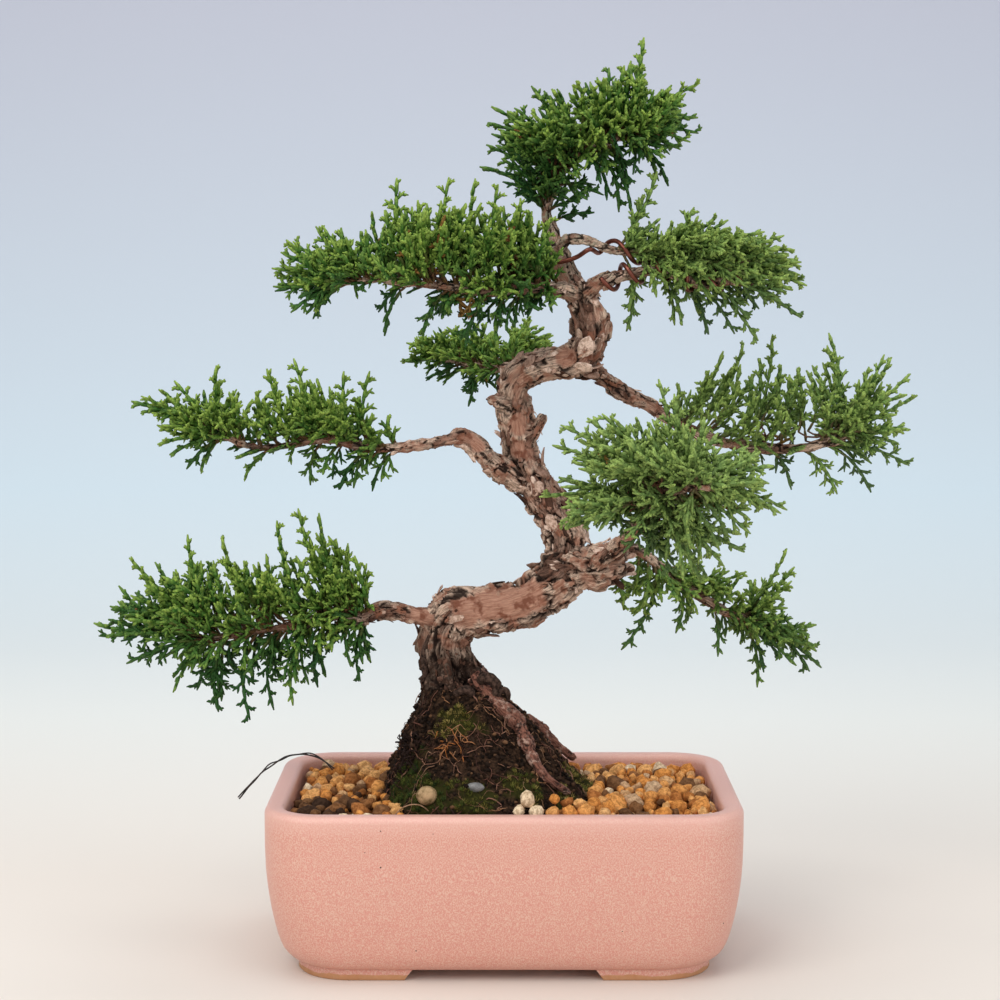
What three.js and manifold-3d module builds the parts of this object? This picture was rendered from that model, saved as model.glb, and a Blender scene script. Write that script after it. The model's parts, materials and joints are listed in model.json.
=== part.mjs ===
// A shimpaku juniper bonsai in a rectangular glazed pot. Millimetres, +Z up.
// The origin is the middle of the pot's footprint, on the surface that the pot stands on.
// The tree's own points are measured from the middle of the rim's plane, so it follows the pot's height.

import * as THREE from 'three';
import { mergeVertices } from 'three/addons/utils/BufferGeometryUtils.js';
import Module from 'manifold-3d';

const wasm = await Module();
wasm.setup();

// ---------------------------------------------------------------------------
// Driving dimensions
// ---------------------------------------------------------------------------

const clearance = 0.3; // air kept between pieces that touch

const pot = {
  length: 150,
  depth: 98,
  height: 54,
  corner: 18, // plan radius of the outer corners
  wall: 6.5,
  lip: 2.2, // rounding of the rim
  floor: 5.5,
  tuck: 5.9, // how far the sides draw in towards the feet
  belly: 2, // the power by which they draw in, higher for a later curve
  heel: 2.9, // the lowest edge of the sides turns in by this much more
  heelTurn: 16, // the power by which it turns in
  straight: 12, // height of the straight band under the rim
};

const foot = {
  height: 3.7,
  step: 0.7, // the feet stand in from the lowest edge of the sides by this much
  length: 37.5, // along the pot's long side, from the corner
  return: 23.8, // along the pot's short side, from the corner
  width: 10,
  slant: 3, // the inner ends lean by this much
};

const drain = {
  radius: 6,
  offset: 36, // each hole's distance from the middle
};

const mesh = {
  side: 25,
  thickness: 1.2,
  hole: 3,
  pitch: 4.6,
  rows: 5,
};

const clip = {
  diameter: 1.5,
  reach: 4.5, // how far each leg is bent out under the pot
  bend: 0.8, // radius of its corners
  headroom: 0.8, // the soil leaves this much over it
};

const fill = {
  soilBelowRim: 9.5, // top of the soil
  gravelBelowRim: 4.5, // top of the gravel at the wall
  gravelRise: 3, // the gravel climbs by this much towards the mound
};

const wire = {
  diameter: 1.5,
  stand: 0.35, // air between the wire and the bark
};

const steps = { pot: 6, wood: 10, twig: 7 };

// ---------------------------------------------------------------------------
// Solids
// ---------------------------------------------------------------------------

function solid(geometry) {
  const bare = geometry.clone();
  bare.deleteAttribute('normal');
  bare.deleteAttribute('uv');
  const merged = mergeVertices(bare, 1e-4);
  return new wasm.Manifold(new wasm.Mesh({
    numProp: 3,
    vertProperties: new Float32Array(merged.attributes.position.array),
    triVerts: new Uint32Array(merged.index.array),
  }));
}

function geometryOf(manifold) {
  const shape = manifold.getMesh();
  const geometry = new THREE.BufferGeometry();
  geometry.setAttribute('position', new THREE.BufferAttribute(new Float32Array(shape.vertProperties), 3));
  geometry.setIndex(new THREE.BufferAttribute(new Uint32Array(shape.triVerts), 1));
  geometry.computeVertexNormals();
  return geometry;
}

function joined(solids) {
  return solids.reduce((whole, piece) => whole.add(piece));
}

function cutBy(whole, cutters) {
  return cutters.reduce((rest, cutter) => rest.subtract(cutter), whole);
}

// A closed skin over rings that all have the same number of points, each ring anticlockwise
// as seen from the last ring.
function loft(rings) {
  const count = rings[0].length;
  const positions = [];
  const middle = (ring) => ring.reduce((sum, p) => sum.add(p), new THREE.Vector3()).divideScalar(count);
  const triangle = (a, b, c) => [a, b, c].forEach((p) => positions.push(p.x, p.y, p.z));
  const first = rings[0];
  const last = rings[rings.length - 1];
  const bottom = middle(first);
  const top = middle(last);
  for (let i = 0; i < count; i++) {
    const next = (i + 1) % count;
    triangle(bottom, first[next], first[i]);
    triangle(top, last[i], last[next]);
    for (let level = 0; level + 1 < rings.length; level++) {
      const low = rings[level];
      const high = rings[level + 1];
      triangle(low[i], low[next], high[next]);
      triangle(low[i], high[next], high[i]);
    }
  }
  const geometry = new THREE.BufferGeometry();
  geometry.setAttribute('position', new THREE.Float32BufferAttribute(positions, 3));
  return mergeVertices(geometry, 1e-5);
}

function roundedRing(halfX, halfY, radius, z) {
  const ring = [];
  for (let corner = 0; corner < 4; corner++) {
    const cx = (corner === 0 || corner === 3 ? 1 : -1) * (halfX - radius);
    const cy = (corner < 2 ? 1 : -1) * (halfY - radius);
    for (let step = 0; step <= steps.pot; step++) {
      const angle = (corner + step / steps.pot) * Math.PI / 2;
      ring.push(new THREE.Vector3(cx + radius * Math.cos(angle), cy + radius * Math.sin(angle), z));
    }
  }
  return ring;
}

function box(sizeX, sizeY, sizeZ, x, y, z) {
  return solid(new THREE.BoxGeometry(sizeX, sizeY, sizeZ).translate(x, y, z));
}

function upright(radius, height, x, y, z) {
  return solid(new THREE.CylinderGeometry(radius, radius, height, 20).rotateX(Math.PI / 2).translate(x, y, z));
}

function ellipsoid(x, y, z, rx, ry, rz) {
  return new THREE.IcosahedronGeometry(1, 1).scale(rx, ry, rz).translate(x, y, z);
}

// ---------------------------------------------------------------------------
// Wood: a branch is a list of [x, y, z, radius], with z from the rim's plane
// ---------------------------------------------------------------------------

function pathOf(points) {
  return new THREE.CatmullRomCurve3(
    points.map(([x, y, z]) => new THREE.Vector3(x, y, z + pot.height)),
    false,
    'centripetal',
  );
}

function radiusAlong(points, curve, u) {
  const place = curve.getUtoTmapping(u) * (points.length - 1);
  const before = Math.min(Math.floor(place), points.length - 2);
  return THREE.MathUtils.lerp(points[before][3], points[before + 1][3], place - before);
}

function grown(points, extra = 0, sides = steps.twig, stretch = 1.5) {
  const curve = pathOf(points);
  const sections = Math.round(points.length * stretch);
  const frames = curve.computeFrenetFrames(sections);
  const rings = [];
  for (let i = 0; i <= sections; i++) {
    const u = i / sections;
    const centre = curve.getPointAt(u);
    const radius = radiusAlong(points, curve, u) + extra;
    const ring = [];
    for (let side = 0; side < sides; side++) {
      const angle = 2 * Math.PI * side / sides;
      ring.push(centre.clone()
        .addScaledVector(frames.normals[i], radius * Math.cos(angle))
        .addScaledVector(frames.binormals[i], radius * Math.sin(angle)));
    }
    rings.push(ring);
  }
  return solid(loft(rings));
}

const trunkLine = [
  [-17, 0, -3, 15],
  [-17, 0, 8, 13],
  [-16, 0, 26, 10.5],
  [-18, 0, 38, 8.6],
  [-19.5, -1, 47, 8.2],
  [-16, -2, 55, 7.8],
  [-7, -4, 57.5, 7.6],
  [2, -6, 58.8, 7.6],
  [12, -5, 63, 7.4],
  [19, -2, 68.5, 7.4],
  [20.5, 1, 76.5, 6.8],
  [18.5, 3, 84.5, 6.2],
  [12, 5.5, 94.5, 5.8],
  [6.5, 7, 104.5, 5.5],
  [4, 6, 119, 5.5],
  [3, 4, 126, 5.3],
  [4.5, 2, 132, 5.3],
  [10, 0, 135.5, 5.3],
  [17, -2, 137, 5.3],
  [23.5, -4, 139, 5.4],
  [27.5, -5, 144, 5.8],
  [27.3, -5, 151, 6.1],
  [25, -4, 156.5, 5.6],
  [21.5, -2, 162.5, 4.5],
  [18, 0, 170.5, 3.6],
  [15.5, 2, 178.5, 2.6],
  [13.5, 2, 185, 2.1],
  [15.5, 1, 192.5, 1.9],
  [19, 0, 198.5, 1.7],
  [26, -2, 204.5, 1.4],
  [35, -4, 208, 1.2],
  [44, -5, 210, 1],
];

// The cut-off old leader, its ragged end towards the right.
const stubLine = [
  [14, -3, 70, 5.4],
  [21, -3, 71.8, 5.8],
  [28, -5, 71.4, 6.8],
  [33, -7, 72, 7.3],
  [38, -8, 73.4, 7],
];

// Short dead stubs where twigs were cut away long ago.
const spurs = [
  [[6, 6, 109, 2], [10, 3, 115, 1.9], [12.5, 2, 119.5, 1.7]],
  [[3, 4, 125, 2.4], [-1, 0, 124.5, 2.2], [-4, -2, 125, 1.9]],
];

const branches = {
  branch_lower_left: [
    [-15, -3, 51, 3.9],
    [-22, -5, 54.5, 3.8],
    [-28, -6, 56, 3.2],
    [-38, -8, 58, 2.9],
    [-47, -10, 55.5, 2.2],
    [-52, -12, 56.5, 1.5],
    [-62, -14, 54.5, 1.3],
    [-73, -14, 53, 1.2],
    [-91, -13, 50, 1],
    [-99, -12, 49, 0.8],
  ],
  branch_mid_left: [
    [5, 5, 99, 4.2],
    [-2, 2, 103.5, 3.9],
    [-6, 0, 107, 3.2],
    [-9, -1, 110.5, 3.1],
    [-13.5, -2, 113.3, 2.9],
    [-18, -3, 112.5, 2.3],
    [-30, -5, 110.5, 1.8],
    [-38, -6, 110, 1.6],
    [-47, -7, 111, 1.6],
    [-55, -8, 113, 1.4],
    [-79, -8, 110.5, 1.1],
    [-95, -8, 117, 0.8],
  ],
  branch_upper_left: [
    [24, -5, 158.5, 2.9],
    [19, -9, 160, 2.8],
    [13, -12, 160.7, 2.5],
    [5, -17, 161, 2.2],
    [-4, -22, 160, 1.9],
    [-18, -26, 161.5, 1.5],
    [-40, -28, 163.5, 1.1],
    [-55, -25, 161.5, 0.8],
  ],
  branch_crown_left: [
    [17.5, 0, 174, 1.9],
    [10, -6, 171.5, 1.6],
    [1, -10, 169.5, 1.4],
    [-6, -13, 171, 1.1],
    [-15, -16, 176, 0.8],
  ],
  branch_back_left: [
    [19, -2, 137.3, 2.4],
    [16.5, 8, 136, 2.3],
    [10, 20, 135, 2],
    [2, 34, 134.6, 1.7],
    [-6, 46, 134, 1.5],
    [-17, 54, 136, 1.2],
    [-26, 58, 138, 0.8],
  ],
  branch_upper_right: [
    [16.5, 1, 172.5, 1.9],
    [20.5, -4, 176.5, 1.8],
    [24, -6, 176.5, 1.6],
    [34.5, -8, 173, 1.4],
    [40, -8, 172, 1.3],
    [48, -7, 170.5, 1],
    [57, -6, 171, 0.8],
  ],
  branch_right_bough: [
    [23.5, -4, 156.5, 3.3],
    [26.5, -8, 160, 2.9],
    [30, -9, 162.5, 2.6],
    [42, -11, 166, 2.2],
    [50, -12, 166.5, 2.1],
    [56, -12, 164.5, 1.9],
    [62, -12, 162, 1.7],
    [69, -12, 163, 1.4],
    [78, -11, 162, 1],
  ],
  branch_mid_right: [
    [21.5, -3.5, 138.5, 3.3],
    [28, 4, 136, 3.2],
    [32.5, 8, 132, 2.9],
    [38, 12, 127.5, 2.8],
    [46, 15, 123.5, 2.6],
    [55, 16, 118, 2.3],
    [65, 15, 112.7, 2.2],
    [75, 13, 110, 2],
    [86, 10, 109, 2],
    [96, 7, 109, 1.8],
    [106, 5, 111.5, 1.6],
    [113, 4, 114.5, 1.2],
  ],
  branch_front_right: [
    [29, -8, 73, 3.3],
    [31, -16, 75.5, 3],
    [35.5, -26, 81, 2.5],
    [41, -40, 89, 2.1],
    [45, -52, 95.5, 2],
    [48, -62, 100, 1.8],
    [54, -72, 103.5, 1.4],
    [59, -78, 104, 1],
  ],
  branch_lower_right: [
    [34, -5, 74, 2.9],
    [40.5, 1, 77, 2.3],
    [46.5, 5, 74, 2],
    [52, 8, 69, 1.8],
    [59, 11, 63.5, 1.8],
    [67, 13, 58.5, 1.8],
    [75, 14, 53.5, 1.5],
    [86, 14, 52, 1],
  ],
};

const roots = {
  root_front: [
    [-10, -7, 36, 2.4],
    [-6, -9.5, 32.5, 2.5],
    [-1.5, -12, 28, 2.6],
    [3, -13, 23.5, 2.6],
    [6, -15, 19, 2.5],
    [8, -19, 14, 2.3],
    [11, -22, 9.5, 1.9],
    [15, -23.5, 5.5, 1.5],
    [20, -23, 2, 1.1],
  ],
  root_back: [
    [-10, 5, 37, 2.3],
    [-5.5, 8, 32.5, 2.2],
    [-2, 10, 26.5, 2.2],
    [5, 12, 20.5, 2.1],
    [11, 13, 16, 2],
    [17, 14, 10, 1.7],
    [23, 15, 5, 1.3],
  ],
};

// A bare wiry root that wanders out over the rim on the left, its x from the pot's left side.
const strayRootLine = [
  [18, 17, 0.8, 0.55],
  [14, 20, 3.4, 0.55],
  [9, 22, 4.6, 0.55],
  [3, 24, 4, 0.55],
  [-4, 24, 0.5, 0.5],
  [-10, 24, -5.5, 0.5],
  [-15, 24, -11, 0.45],
].map(([x, ...rest]) => [x - pot.length / 2, ...rest]);

const trunkParts = (extra) => [
  grown(trunkLine, extra, steps.wood, 1),
  grown(stubLine, extra, steps.wood, 1),
  ...spurs.map((spur) => grown(spur, extra, steps.twig, 1)),
];
const trunk = joined(trunkParts(0));
const trunkRoom = joined(trunkParts(clearance));

// Each branch is cut where it leaves the trunk, and where another branch already stands.
const branchSolids = {};
const woodRoom = [trunkRoom];
for (const [name, points] of Object.entries(branches)) {
  branchSolids[name] = cutBy(grown(points), woodRoom);
  woodRoom.push(grown(points, clearance));
}

// ---------------------------------------------------------------------------
// Pot, drainage, soil, mound and gravel
// ---------------------------------------------------------------------------

const half = { x: pot.length / 2, y: pot.depth / 2 };
const bend = pot.height - pot.straight; // the sides start to draw in below this height

// How far the outer side is drawn in at a height.
function tuckAt(z) {
  const fall = THREE.MathUtils.clamp((bend - z) / (bend - foot.height), 0, 1);
  return pot.tuck * fall ** pot.belly + pot.heel * fall ** pot.heelTurn;
}

function potRing(inset, z) {
  const draw = inset + tuckAt(z);
  return roundedRing(half.x - draw, half.y - draw, Math.max(pot.corner - inset, 4), z);
}

function levels(low, high, count) {
  return Array.from({ length: count + 1 }, (_, i) => THREE.MathUtils.lerp(low, high, i / count));
}

// The hollow of the pot, shrunk by `gap`, from `low` to `high`.
function hollow(gap, low, high, count = 6) {
  return solid(loft(levels(low, high, count).map((z) => potRing(pot.wall + gap, z))));
}

const floorTop = foot.height + pot.floor;
const holes = [-1, 1].map((side) => side * drain.offset);

const footInset = pot.tuck + pot.heel + foot.step;
const footReach = { x: half.x - footInset, y: half.y - footInset };

function footRing() {
  const outer = roundedRing(footReach.x, footReach.y, pot.corner - foot.step, 0);
  const inner = roundedRing(
    footReach.x - foot.width,
    footReach.y - foot.width,
    pot.corner - foot.step - foot.width,
    0,
  );
  const raise = (ring, z) => ring.map((p) => new THREE.Vector3(p.x, p.y, z));
  const overlap = 1; // the feet run this far up into the body
  const body = solid(loft([raise(outer, 0), raise(outer, foot.height + overlap)]));
  return body.subtract(solid(loft([raise(inner, -1), raise(inner, foot.height + overlap + 1)])));
}

// The gap between two feet, wider at the ground than at the body.
function footGap(middle, slant, across) {
  const outline = new THREE.Shape();
  outline.moveTo(-middle - slant, -1);
  outline.lineTo(middle + slant, -1);
  outline.lineTo(middle, foot.height);
  outline.lineTo(-middle, foot.height);
  outline.closePath();
  return new THREE.ExtrudeGeometry(outline, { depth: across, bevelEnabled: false })
    .translate(0, 0, -across / 2)
    .rotateX(Math.PI / 2);
}

function makePot() {
  // shares of the way down, closer together where the lowest edge turns in
  const falls = [1, 0.975, 0.94, 0.88, 0.76, 0.58, 0.4, 0.2, 0];
  const drawn = falls.map((fall) => THREE.MathUtils.lerp(bend, foot.height, fall));
  const heights = [...drawn, pot.height - pot.lip];
  const outside = heights.map((z) => potRing(0, z));
  for (const turn of [0.35, 0.7, 1]) {
    const angle = turn * Math.PI / 2;
    outside.push(potRing(pot.lip * (1 - Math.cos(angle)), pot.height - pot.lip * (1 - Math.sin(angle))));
  }
  const body = solid(loft(outside));
  const mouth = levels(floorTop, pot.height - pot.lip, 6).map((z) => potRing(pot.wall, z));
  for (const turn of [0.35, 0.7, 1]) {
    const angle = turn * Math.PI / 2;
    mouth.push(potRing(pot.wall - pot.lip * (1 - Math.cos(angle)), pot.height - pot.lip * (1 - Math.sin(angle))));
  }
  mouth.push(potRing(pot.wall - pot.lip, pot.height + 1));
  const acrossX = footGap(footReach.x - foot.length, foot.slant, pot.depth + 2);
  const acrossY = footGap(footReach.y - foot.return, foot.slant, pot.length + 2).rotateZ(Math.PI / 2);
  const feet = cutBy(footRing(), [solid(acrossX), solid(acrossY)]);
  const drains = holes.map((x) => upright(drain.radius, floorTop * 3, x, 0, floorTop / 2));
  return cutBy(body.add(feet), [solid(loft(mouth)), ...drains]);
}

const meshBottom = floorTop + clearance;
const meshTop = meshBottom + mesh.thickness;
const legSpan = mesh.pitch * 2; // the clip's legs pass through the mesh this far apart
const clipTop = meshTop + clearance + clip.diameter;

function makeDrainMesh(x) {
  const plate = box(mesh.side, mesh.side, mesh.thickness, x, 0, meshBottom + mesh.thickness / 2);
  const cuts = [];
  for (let row = 0; row < mesh.rows; row++) {
    for (let column = 0; column < mesh.rows; column++) {
      const dx = (column - (mesh.rows - 1) / 2) * mesh.pitch;
      const dy = (row - (mesh.rows - 1) / 2) * mesh.pitch;
      cuts.push(box(mesh.hole, mesh.hole, mesh.thickness * 3, x + dx, dy, meshBottom));
    }
  }
  return cutBy(plate, cuts);
}

function wireAlong(points, diameter, count) {
  const profile = new THREE.Shape();
  profile.absarc(0, 0, diameter / 2, 0, 2 * Math.PI);
  const curve = new THREE.CatmullRomCurve3(points, false, 'centripetal');
  const geometry = new THREE.ExtrudeGeometry(profile, {
    steps: count,
    extrudePath: curve,
    curveSegments: 3,
  });
  return solid(geometry);
}

// A staple over the mesh, its two legs down through the hole and bent apart under the pot.
function makeClip(x) {
  const leg = legSpan / 2;
  const under = foot.height - clearance - clip.diameter / 2;
  const over = meshTop + clearance + clip.diameter / 2;
  const bendPoints = [
    [-leg - clip.reach, under],
    [-leg - clip.bend, under],
    [-leg, under + clip.bend],
    [-leg, over - clip.bend],
    [-leg + clip.bend, over],
    [leg - clip.bend, over],
    [leg, over - clip.bend],
    [leg, under + clip.bend],
    [leg + clip.bend, under],
    [leg + clip.reach, under],
  ];
  return wireAlong(bendPoints.map(([dx, z]) => new THREE.Vector3(x + dx, 0, z)), clip.diameter, 36);
}

const soilTop = pot.height - fill.soilBelowRim;

function makeSoil() {
  const body = hollow(clearance, floorTop + clearance, soilTop);
  const pockets = holes.map((x) => {
    const low = floorTop - 1;
    const high = clipTop + clip.headroom;
    const side = mesh.side + 2 * clearance;
    return box(side, side, high - low, x, 0, (low + high) / 2);
  });
  return cutBy(body, pockets);
}

// Rings of the mound: [z from the rim, left, right, front, back], in millimetres from its middle.
const moundMiddle = { x: -14, y: -2 };
const moundRings = [
  [-fill.soilBelowRim + clearance, 28, 47, 45, 34],
  [-1, 24.5, 41, 42, 30],
  [7, 22.5, 34, 33, 24],
  [13, 19.5, 29, 27, 21],
  [20, 17, 22.5, 21, 18],
  [26, 14, 17.5, 16, 15],
  [32, 12, 13, 12, 12],
];

function makeMound(extra) {
  const around = 24;
  const rings = moundRings.map(([z, left, right, front, back]) => Array.from({ length: around }, (_, i) => {
    const angle = 2 * Math.PI * i / around;
    const reachX = (Math.cos(angle) > 0 ? right : left) + extra;
    const reachY = (Math.sin(angle) > 0 ? back : front) + extra;
    return new THREE.Vector3(
      moundMiddle.x + reachX * Math.cos(angle),
      moundMiddle.y + reachY * Math.sin(angle),
      pot.height + z,
    );
  }));
  return solid(loft(rings));
}

const rootRooms = Object.values(roots).map((points) => grown(points, clearance));
const roomAboveRim = 40;

function insideWall(piece) {
  return piece.intersect(hollow(clearance, soilTop - 1, pot.height + roomAboveRim, 12));
}

const pebbles = {
  pebble_tan: [-24, -37, 4.2, 3.6, 3.2, 3.4],
  pebble_grey: [-9, -36, 6.6, 3.1, 1.7, 1.7],
};

function pebble([x, y, z, rx, ry, rz], extra = 0) {
  return solid(ellipsoid(x, y, z + pot.height, rx + extra, ry + extra, rz + extra));
}

const moundCuts = [trunkRoom, ...rootRooms, ...Object.values(pebbles).map((place) => pebble(place, clearance))];

function makeGravel() {
  const wallTop = pot.height - fill.gravelBelowRim;
  const shrink = (inset, z) => {
    const draw = inset + pot.wall + clearance;
    return roundedRing(half.x - draw, half.y - draw, Math.max(pot.corner - draw, 4), z);
  };
  const body = solid(loft([
    shrink(0, soilTop + clearance),
    shrink(0, wallTop),
    shrink(6, wallTop + fill.gravelRise * 0.5),
    shrink(18, wallTop + fill.gravelRise),
  ]));
  const strayRoot = grown(strayRootLine, clearance);
  return cutBy(body, [insideWall(makeMound(clearance)), ...rootRooms, strayRoot]);
}

// ---------------------------------------------------------------------------
// Training wires: one loops round the trunk and then a branch, the other winds along a branch
// ---------------------------------------------------------------------------

function coil(points, from, to, turns, phase, count) {
  const curve = pathOf(points);
  const sections = 80;
  const frames = curve.computeFrenetFrames(sections);
  return Array.from({ length: count + 1 }, (_, i) => {
    const u = THREE.MathUtils.lerp(from, to, i / count);
    const frame = Math.round(u * sections);
    const angle = phase + 2 * Math.PI * turns * i / count;
    const reach = radiusAlong(points, curve, u) + wire.stand + wire.diameter / 2;
    return curve.getPointAt(u)
      .addScaledVector(frames.normals[frame], reach * Math.cos(angle))
      .addScaledVector(frames.binormals[frame], reach * Math.sin(angle));
  });
}

// From behind the trunk round its left side to the front, then freely across to the branch.
const wireLoop = [
  [22, 3.8, 160.5],
  [16, 3.2, 164.5],
  [13.6, 0, 167.3],
  [14.2, -4.2, 168.8],
  [18.5, -5.6, 169.4],
  [23, -7, 170.8],
  [27, -9.4, 173.2],
  [30.3, -5, 172.2],
  [33, -5.6, 175.4],
  [35.5, -8.2, 175.8],
  [38, -10.6, 173.4],
  [40.5, -10, 169.9],
  [43, -6.6, 168.9],
  [45.5, -4.8, 171],
  [48, -6.2, 173.2],
];

const bough = { name: 'branch_right_bough', from: 0.2, to: 0.93, turns: 5, phase: 1 };
const pointsPerTurn = 8;

const wires = {
  wire_upper_right: wireLoop.map(([x, y, z]) => new THREE.Vector3(x, y, z + pot.height)),
  wire_right_bough: coil(
    branches[bough.name],
    bough.from,
    bough.to,
    bough.turns,
    bough.phase,
    bough.turns * pointsPerTurn,
  ),
};

function makeWire(points, extra = 0) {
  const sections = 54;
  return wireAlong(points, wire.diameter + 2 * extra, sections);
}

// ---------------------------------------------------------------------------
// Foliage: each pad is a cluster of rounded lobes [x, y, z, rx, ry, rz], z from the rim's plane
// ---------------------------------------------------------------------------

const pads = {
  foliage_lower_left: [
    [-99, -8, 60, 23, 22, 18],
    [-118, -3, 56, 13, 14, 12],
    [-77, -12, 64, 18, 22, 17],
    [-63, -14, 52, 15, 18, 18],
    [-58, -13, 74, 9, 12, 16],
    [-89, -10, 42, 17, 15, 13],
  ],
  foliage_mid_left: [
    [-90, -8, 119, 19, 18, 13],
    [-65, -8, 121, 20, 20, 15],
    [-51, -8, 112, 14, 15, 14],
    [-108, -6, 122, 11, 9, 5],
  ],
  foliage_upper_left: [
    [-17, -22, 177, 25, 20, 17],
    [-48, -26, 169, 20, 15, 12],
    [2, -19, 178, 14, 15, 14],
    [-6, -21, 157, 19, 16, 12],
    [-62, -26, 163, 9, 9, 10],
  ],
  foliage_back_left: [
    [-12, 54, 138, 22, 18, 11],
    [8, 50, 144, 11, 13, 9],
    [-14, 70, 139, 14, 14, 8],
  ],
  foliage_apex: [
    [28, -4, 209, 22, 21, 19],
    [8, -8, 208, 14, 15, 12],
    [48, 0, 214, 12, 15, 14],
    [41, -2, 227, 7, 9, 12],
    [26, -6, 196, 15, 15, 10],
  ],
  foliage_upper_right: [
    [67, -10, 169, 21, 20, 14],
    [58, -14, 178, 13, 14, 8],
    [83, -8, 164, 12, 15, 14],
    [47, -6, 179, 7, 10, 9],
  ],
  foliage_mid_right: [
    [95, 8, 123, 25, 22, 18],
    [117, 4, 119, 14.5, 17, 19],
    [76, 12, 127, 13, 16, 12],
  ],
  foliage_front_right: [
    [42, -66, 113, 25, 20, 17],
    [31, -63, 99, 16, 18, 14],
    [62, -64, 101, 18, 20, 19],
    [55, -58, 85, 15, 16, 13],
  ],
  foliage_lower_right: [
    [65, 10, 61, 24, 17, 13],
    [80, 14, 53, 15, 16, 16],
    [46, 8, 61, 11, 12, 9],
    [96, 14, 44, 11, 10, 10],
  ],
};

function padSolid(lobes, extra) {
  return joined(lobes.map(([x, y, z, rx, ry, rz]) => solid(
    ellipsoid(x, y, z + pot.height, rx + extra, ry + extra, rz + extra),
  )));
}

// Room that the pads leave for the wood and the wires, and a sleeve where a wire winds round a branch.
function foliageCutters() {
  const sleeve = grown(branches[bough.name], wire.stand + wire.diameter + 2 * clearance, steps.wood);
  return [...woodRoom, sleeve, makeWire(wires.wire_upper_right, clearance)];
}

// ---------------------------------------------------------------------------
// Materials and the finished tree
// ---------------------------------------------------------------------------

function finish(color, roughness, metalness = 0) {
  return new THREE.MeshStandardMaterial({ color, roughness, metalness });
}

const materials = {
  glaze: finish(0xdc9f90, 0.5),
  bark: finish(0x8c7568, 0.85),
  root: finish(0x96665a, 0.8),
  strayRoot: finish(0x2c2624, 0.7),
  foliage: finish(0x3f7a3a, 0.6),
  soil: finish(0x2e2620, 0.95),
  moss: finish(0x4b4a28, 0.95),
  gravel: finish(0xc08a4e, 0.9),
  tan: finish(0xb7a072, 0.85),
  grey: finish(0x9ba3a6, 0.7),
  wire: finish(0x6e3b30, 0.4, 0.8),
  clipWire: finish(0xb9babb, 0.35, 0.9),
  net: finish(0x1c1d1e, 0.6),
};

const tree = new THREE.Group();

function place(name, piece, material) {
  const part = new THREE.Mesh(geometryOf(piece), material);
  part.name = name;
  tree.add(part);
}

place('pot', makePot(), materials.glaze);
for (const [index, side] of ['left', 'right'].entries()) {
  place(`drain_mesh_${side}`, makeDrainMesh(holes[index]), materials.net);
  place(`mesh_clip_${side}`, makeClip(holes[index]), materials.clipWire);
}
place('soil', makeSoil(), materials.soil);
place('moss_mound', cutBy(insideWall(makeMound(0)), moundCuts), materials.moss);
place('gravel', makeGravel(), materials.gravel);
for (const [name, spot] of Object.entries(pebbles)) {
  place(name, pebble(spot), name === 'pebble_tan' ? materials.tan : materials.grey);
}

place('trunk', trunk, materials.bark);
for (const [name, points] of Object.entries(roots)) {
  place(name, cutBy(grown(points), [trunkRoom]), materials.root);
}
place('stray_root', grown(strayRootLine), materials.strayRoot);
for (const [name, piece] of Object.entries(branchSolids)) {
  place(name, piece, materials.bark);
}
for (const [name, points] of Object.entries(wires)) {
  place(name, makeWire(points), materials.wire);
}

const cutters = foliageCutters();
const padsPlaced = [];
for (const [name, lobes] of Object.entries(pads)) {
  place(name, cutBy(padSolid(lobes, 0), [...cutters, ...padsPlaced]), materials.foliage);
  padsPlaced.push(padSolid(lobes, clearance));
}

export default tree;
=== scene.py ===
# %% [markdown]
# # A juniper bonsai in a pink pot
# The tree is a shimpaku juniper trained into a double bend. It stands in a small glazed pot on a mound of
# old root soil, with baked-clay gravel round it. A CAD frame already gives every piece its size and its
# place. This notebook keeps those places and gives each piece its real surface: glaze, bark, moss, gravel
# and thousands of scale-leaf shoots.

# %% Load the frame
import json
import math

import bpy
import numpy as np
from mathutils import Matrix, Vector
from mathutils.bvhtree import BVHTree

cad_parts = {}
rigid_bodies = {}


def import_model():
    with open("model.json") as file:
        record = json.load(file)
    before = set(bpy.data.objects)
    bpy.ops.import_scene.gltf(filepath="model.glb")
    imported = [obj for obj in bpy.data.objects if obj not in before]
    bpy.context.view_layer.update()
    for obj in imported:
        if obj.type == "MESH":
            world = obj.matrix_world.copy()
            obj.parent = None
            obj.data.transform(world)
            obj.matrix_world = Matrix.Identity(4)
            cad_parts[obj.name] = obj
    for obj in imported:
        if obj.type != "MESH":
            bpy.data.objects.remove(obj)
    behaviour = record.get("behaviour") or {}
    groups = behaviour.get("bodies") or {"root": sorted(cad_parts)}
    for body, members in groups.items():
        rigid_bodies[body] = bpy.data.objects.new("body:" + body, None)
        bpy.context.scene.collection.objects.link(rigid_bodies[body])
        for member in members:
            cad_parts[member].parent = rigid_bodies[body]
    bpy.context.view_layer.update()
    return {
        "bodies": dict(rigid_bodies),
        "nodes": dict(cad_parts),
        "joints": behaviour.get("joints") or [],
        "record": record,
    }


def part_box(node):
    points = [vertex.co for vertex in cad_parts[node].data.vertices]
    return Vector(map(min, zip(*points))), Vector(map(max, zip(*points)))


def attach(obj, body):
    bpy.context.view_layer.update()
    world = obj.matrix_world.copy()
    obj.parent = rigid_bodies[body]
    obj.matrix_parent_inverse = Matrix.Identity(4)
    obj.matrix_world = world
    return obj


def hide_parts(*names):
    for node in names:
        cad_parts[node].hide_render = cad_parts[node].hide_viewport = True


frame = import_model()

MM = 0.001
rim_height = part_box("pot")[1].z

# %% [markdown]
# ## Small helpers
# A mesh is made from plain arrays of points and faces, and every array of places is in metres. Random
# numbers come from a generator with a fixed seed, one for each piece, so a change to one piece leaves
# the others as they were.

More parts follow.
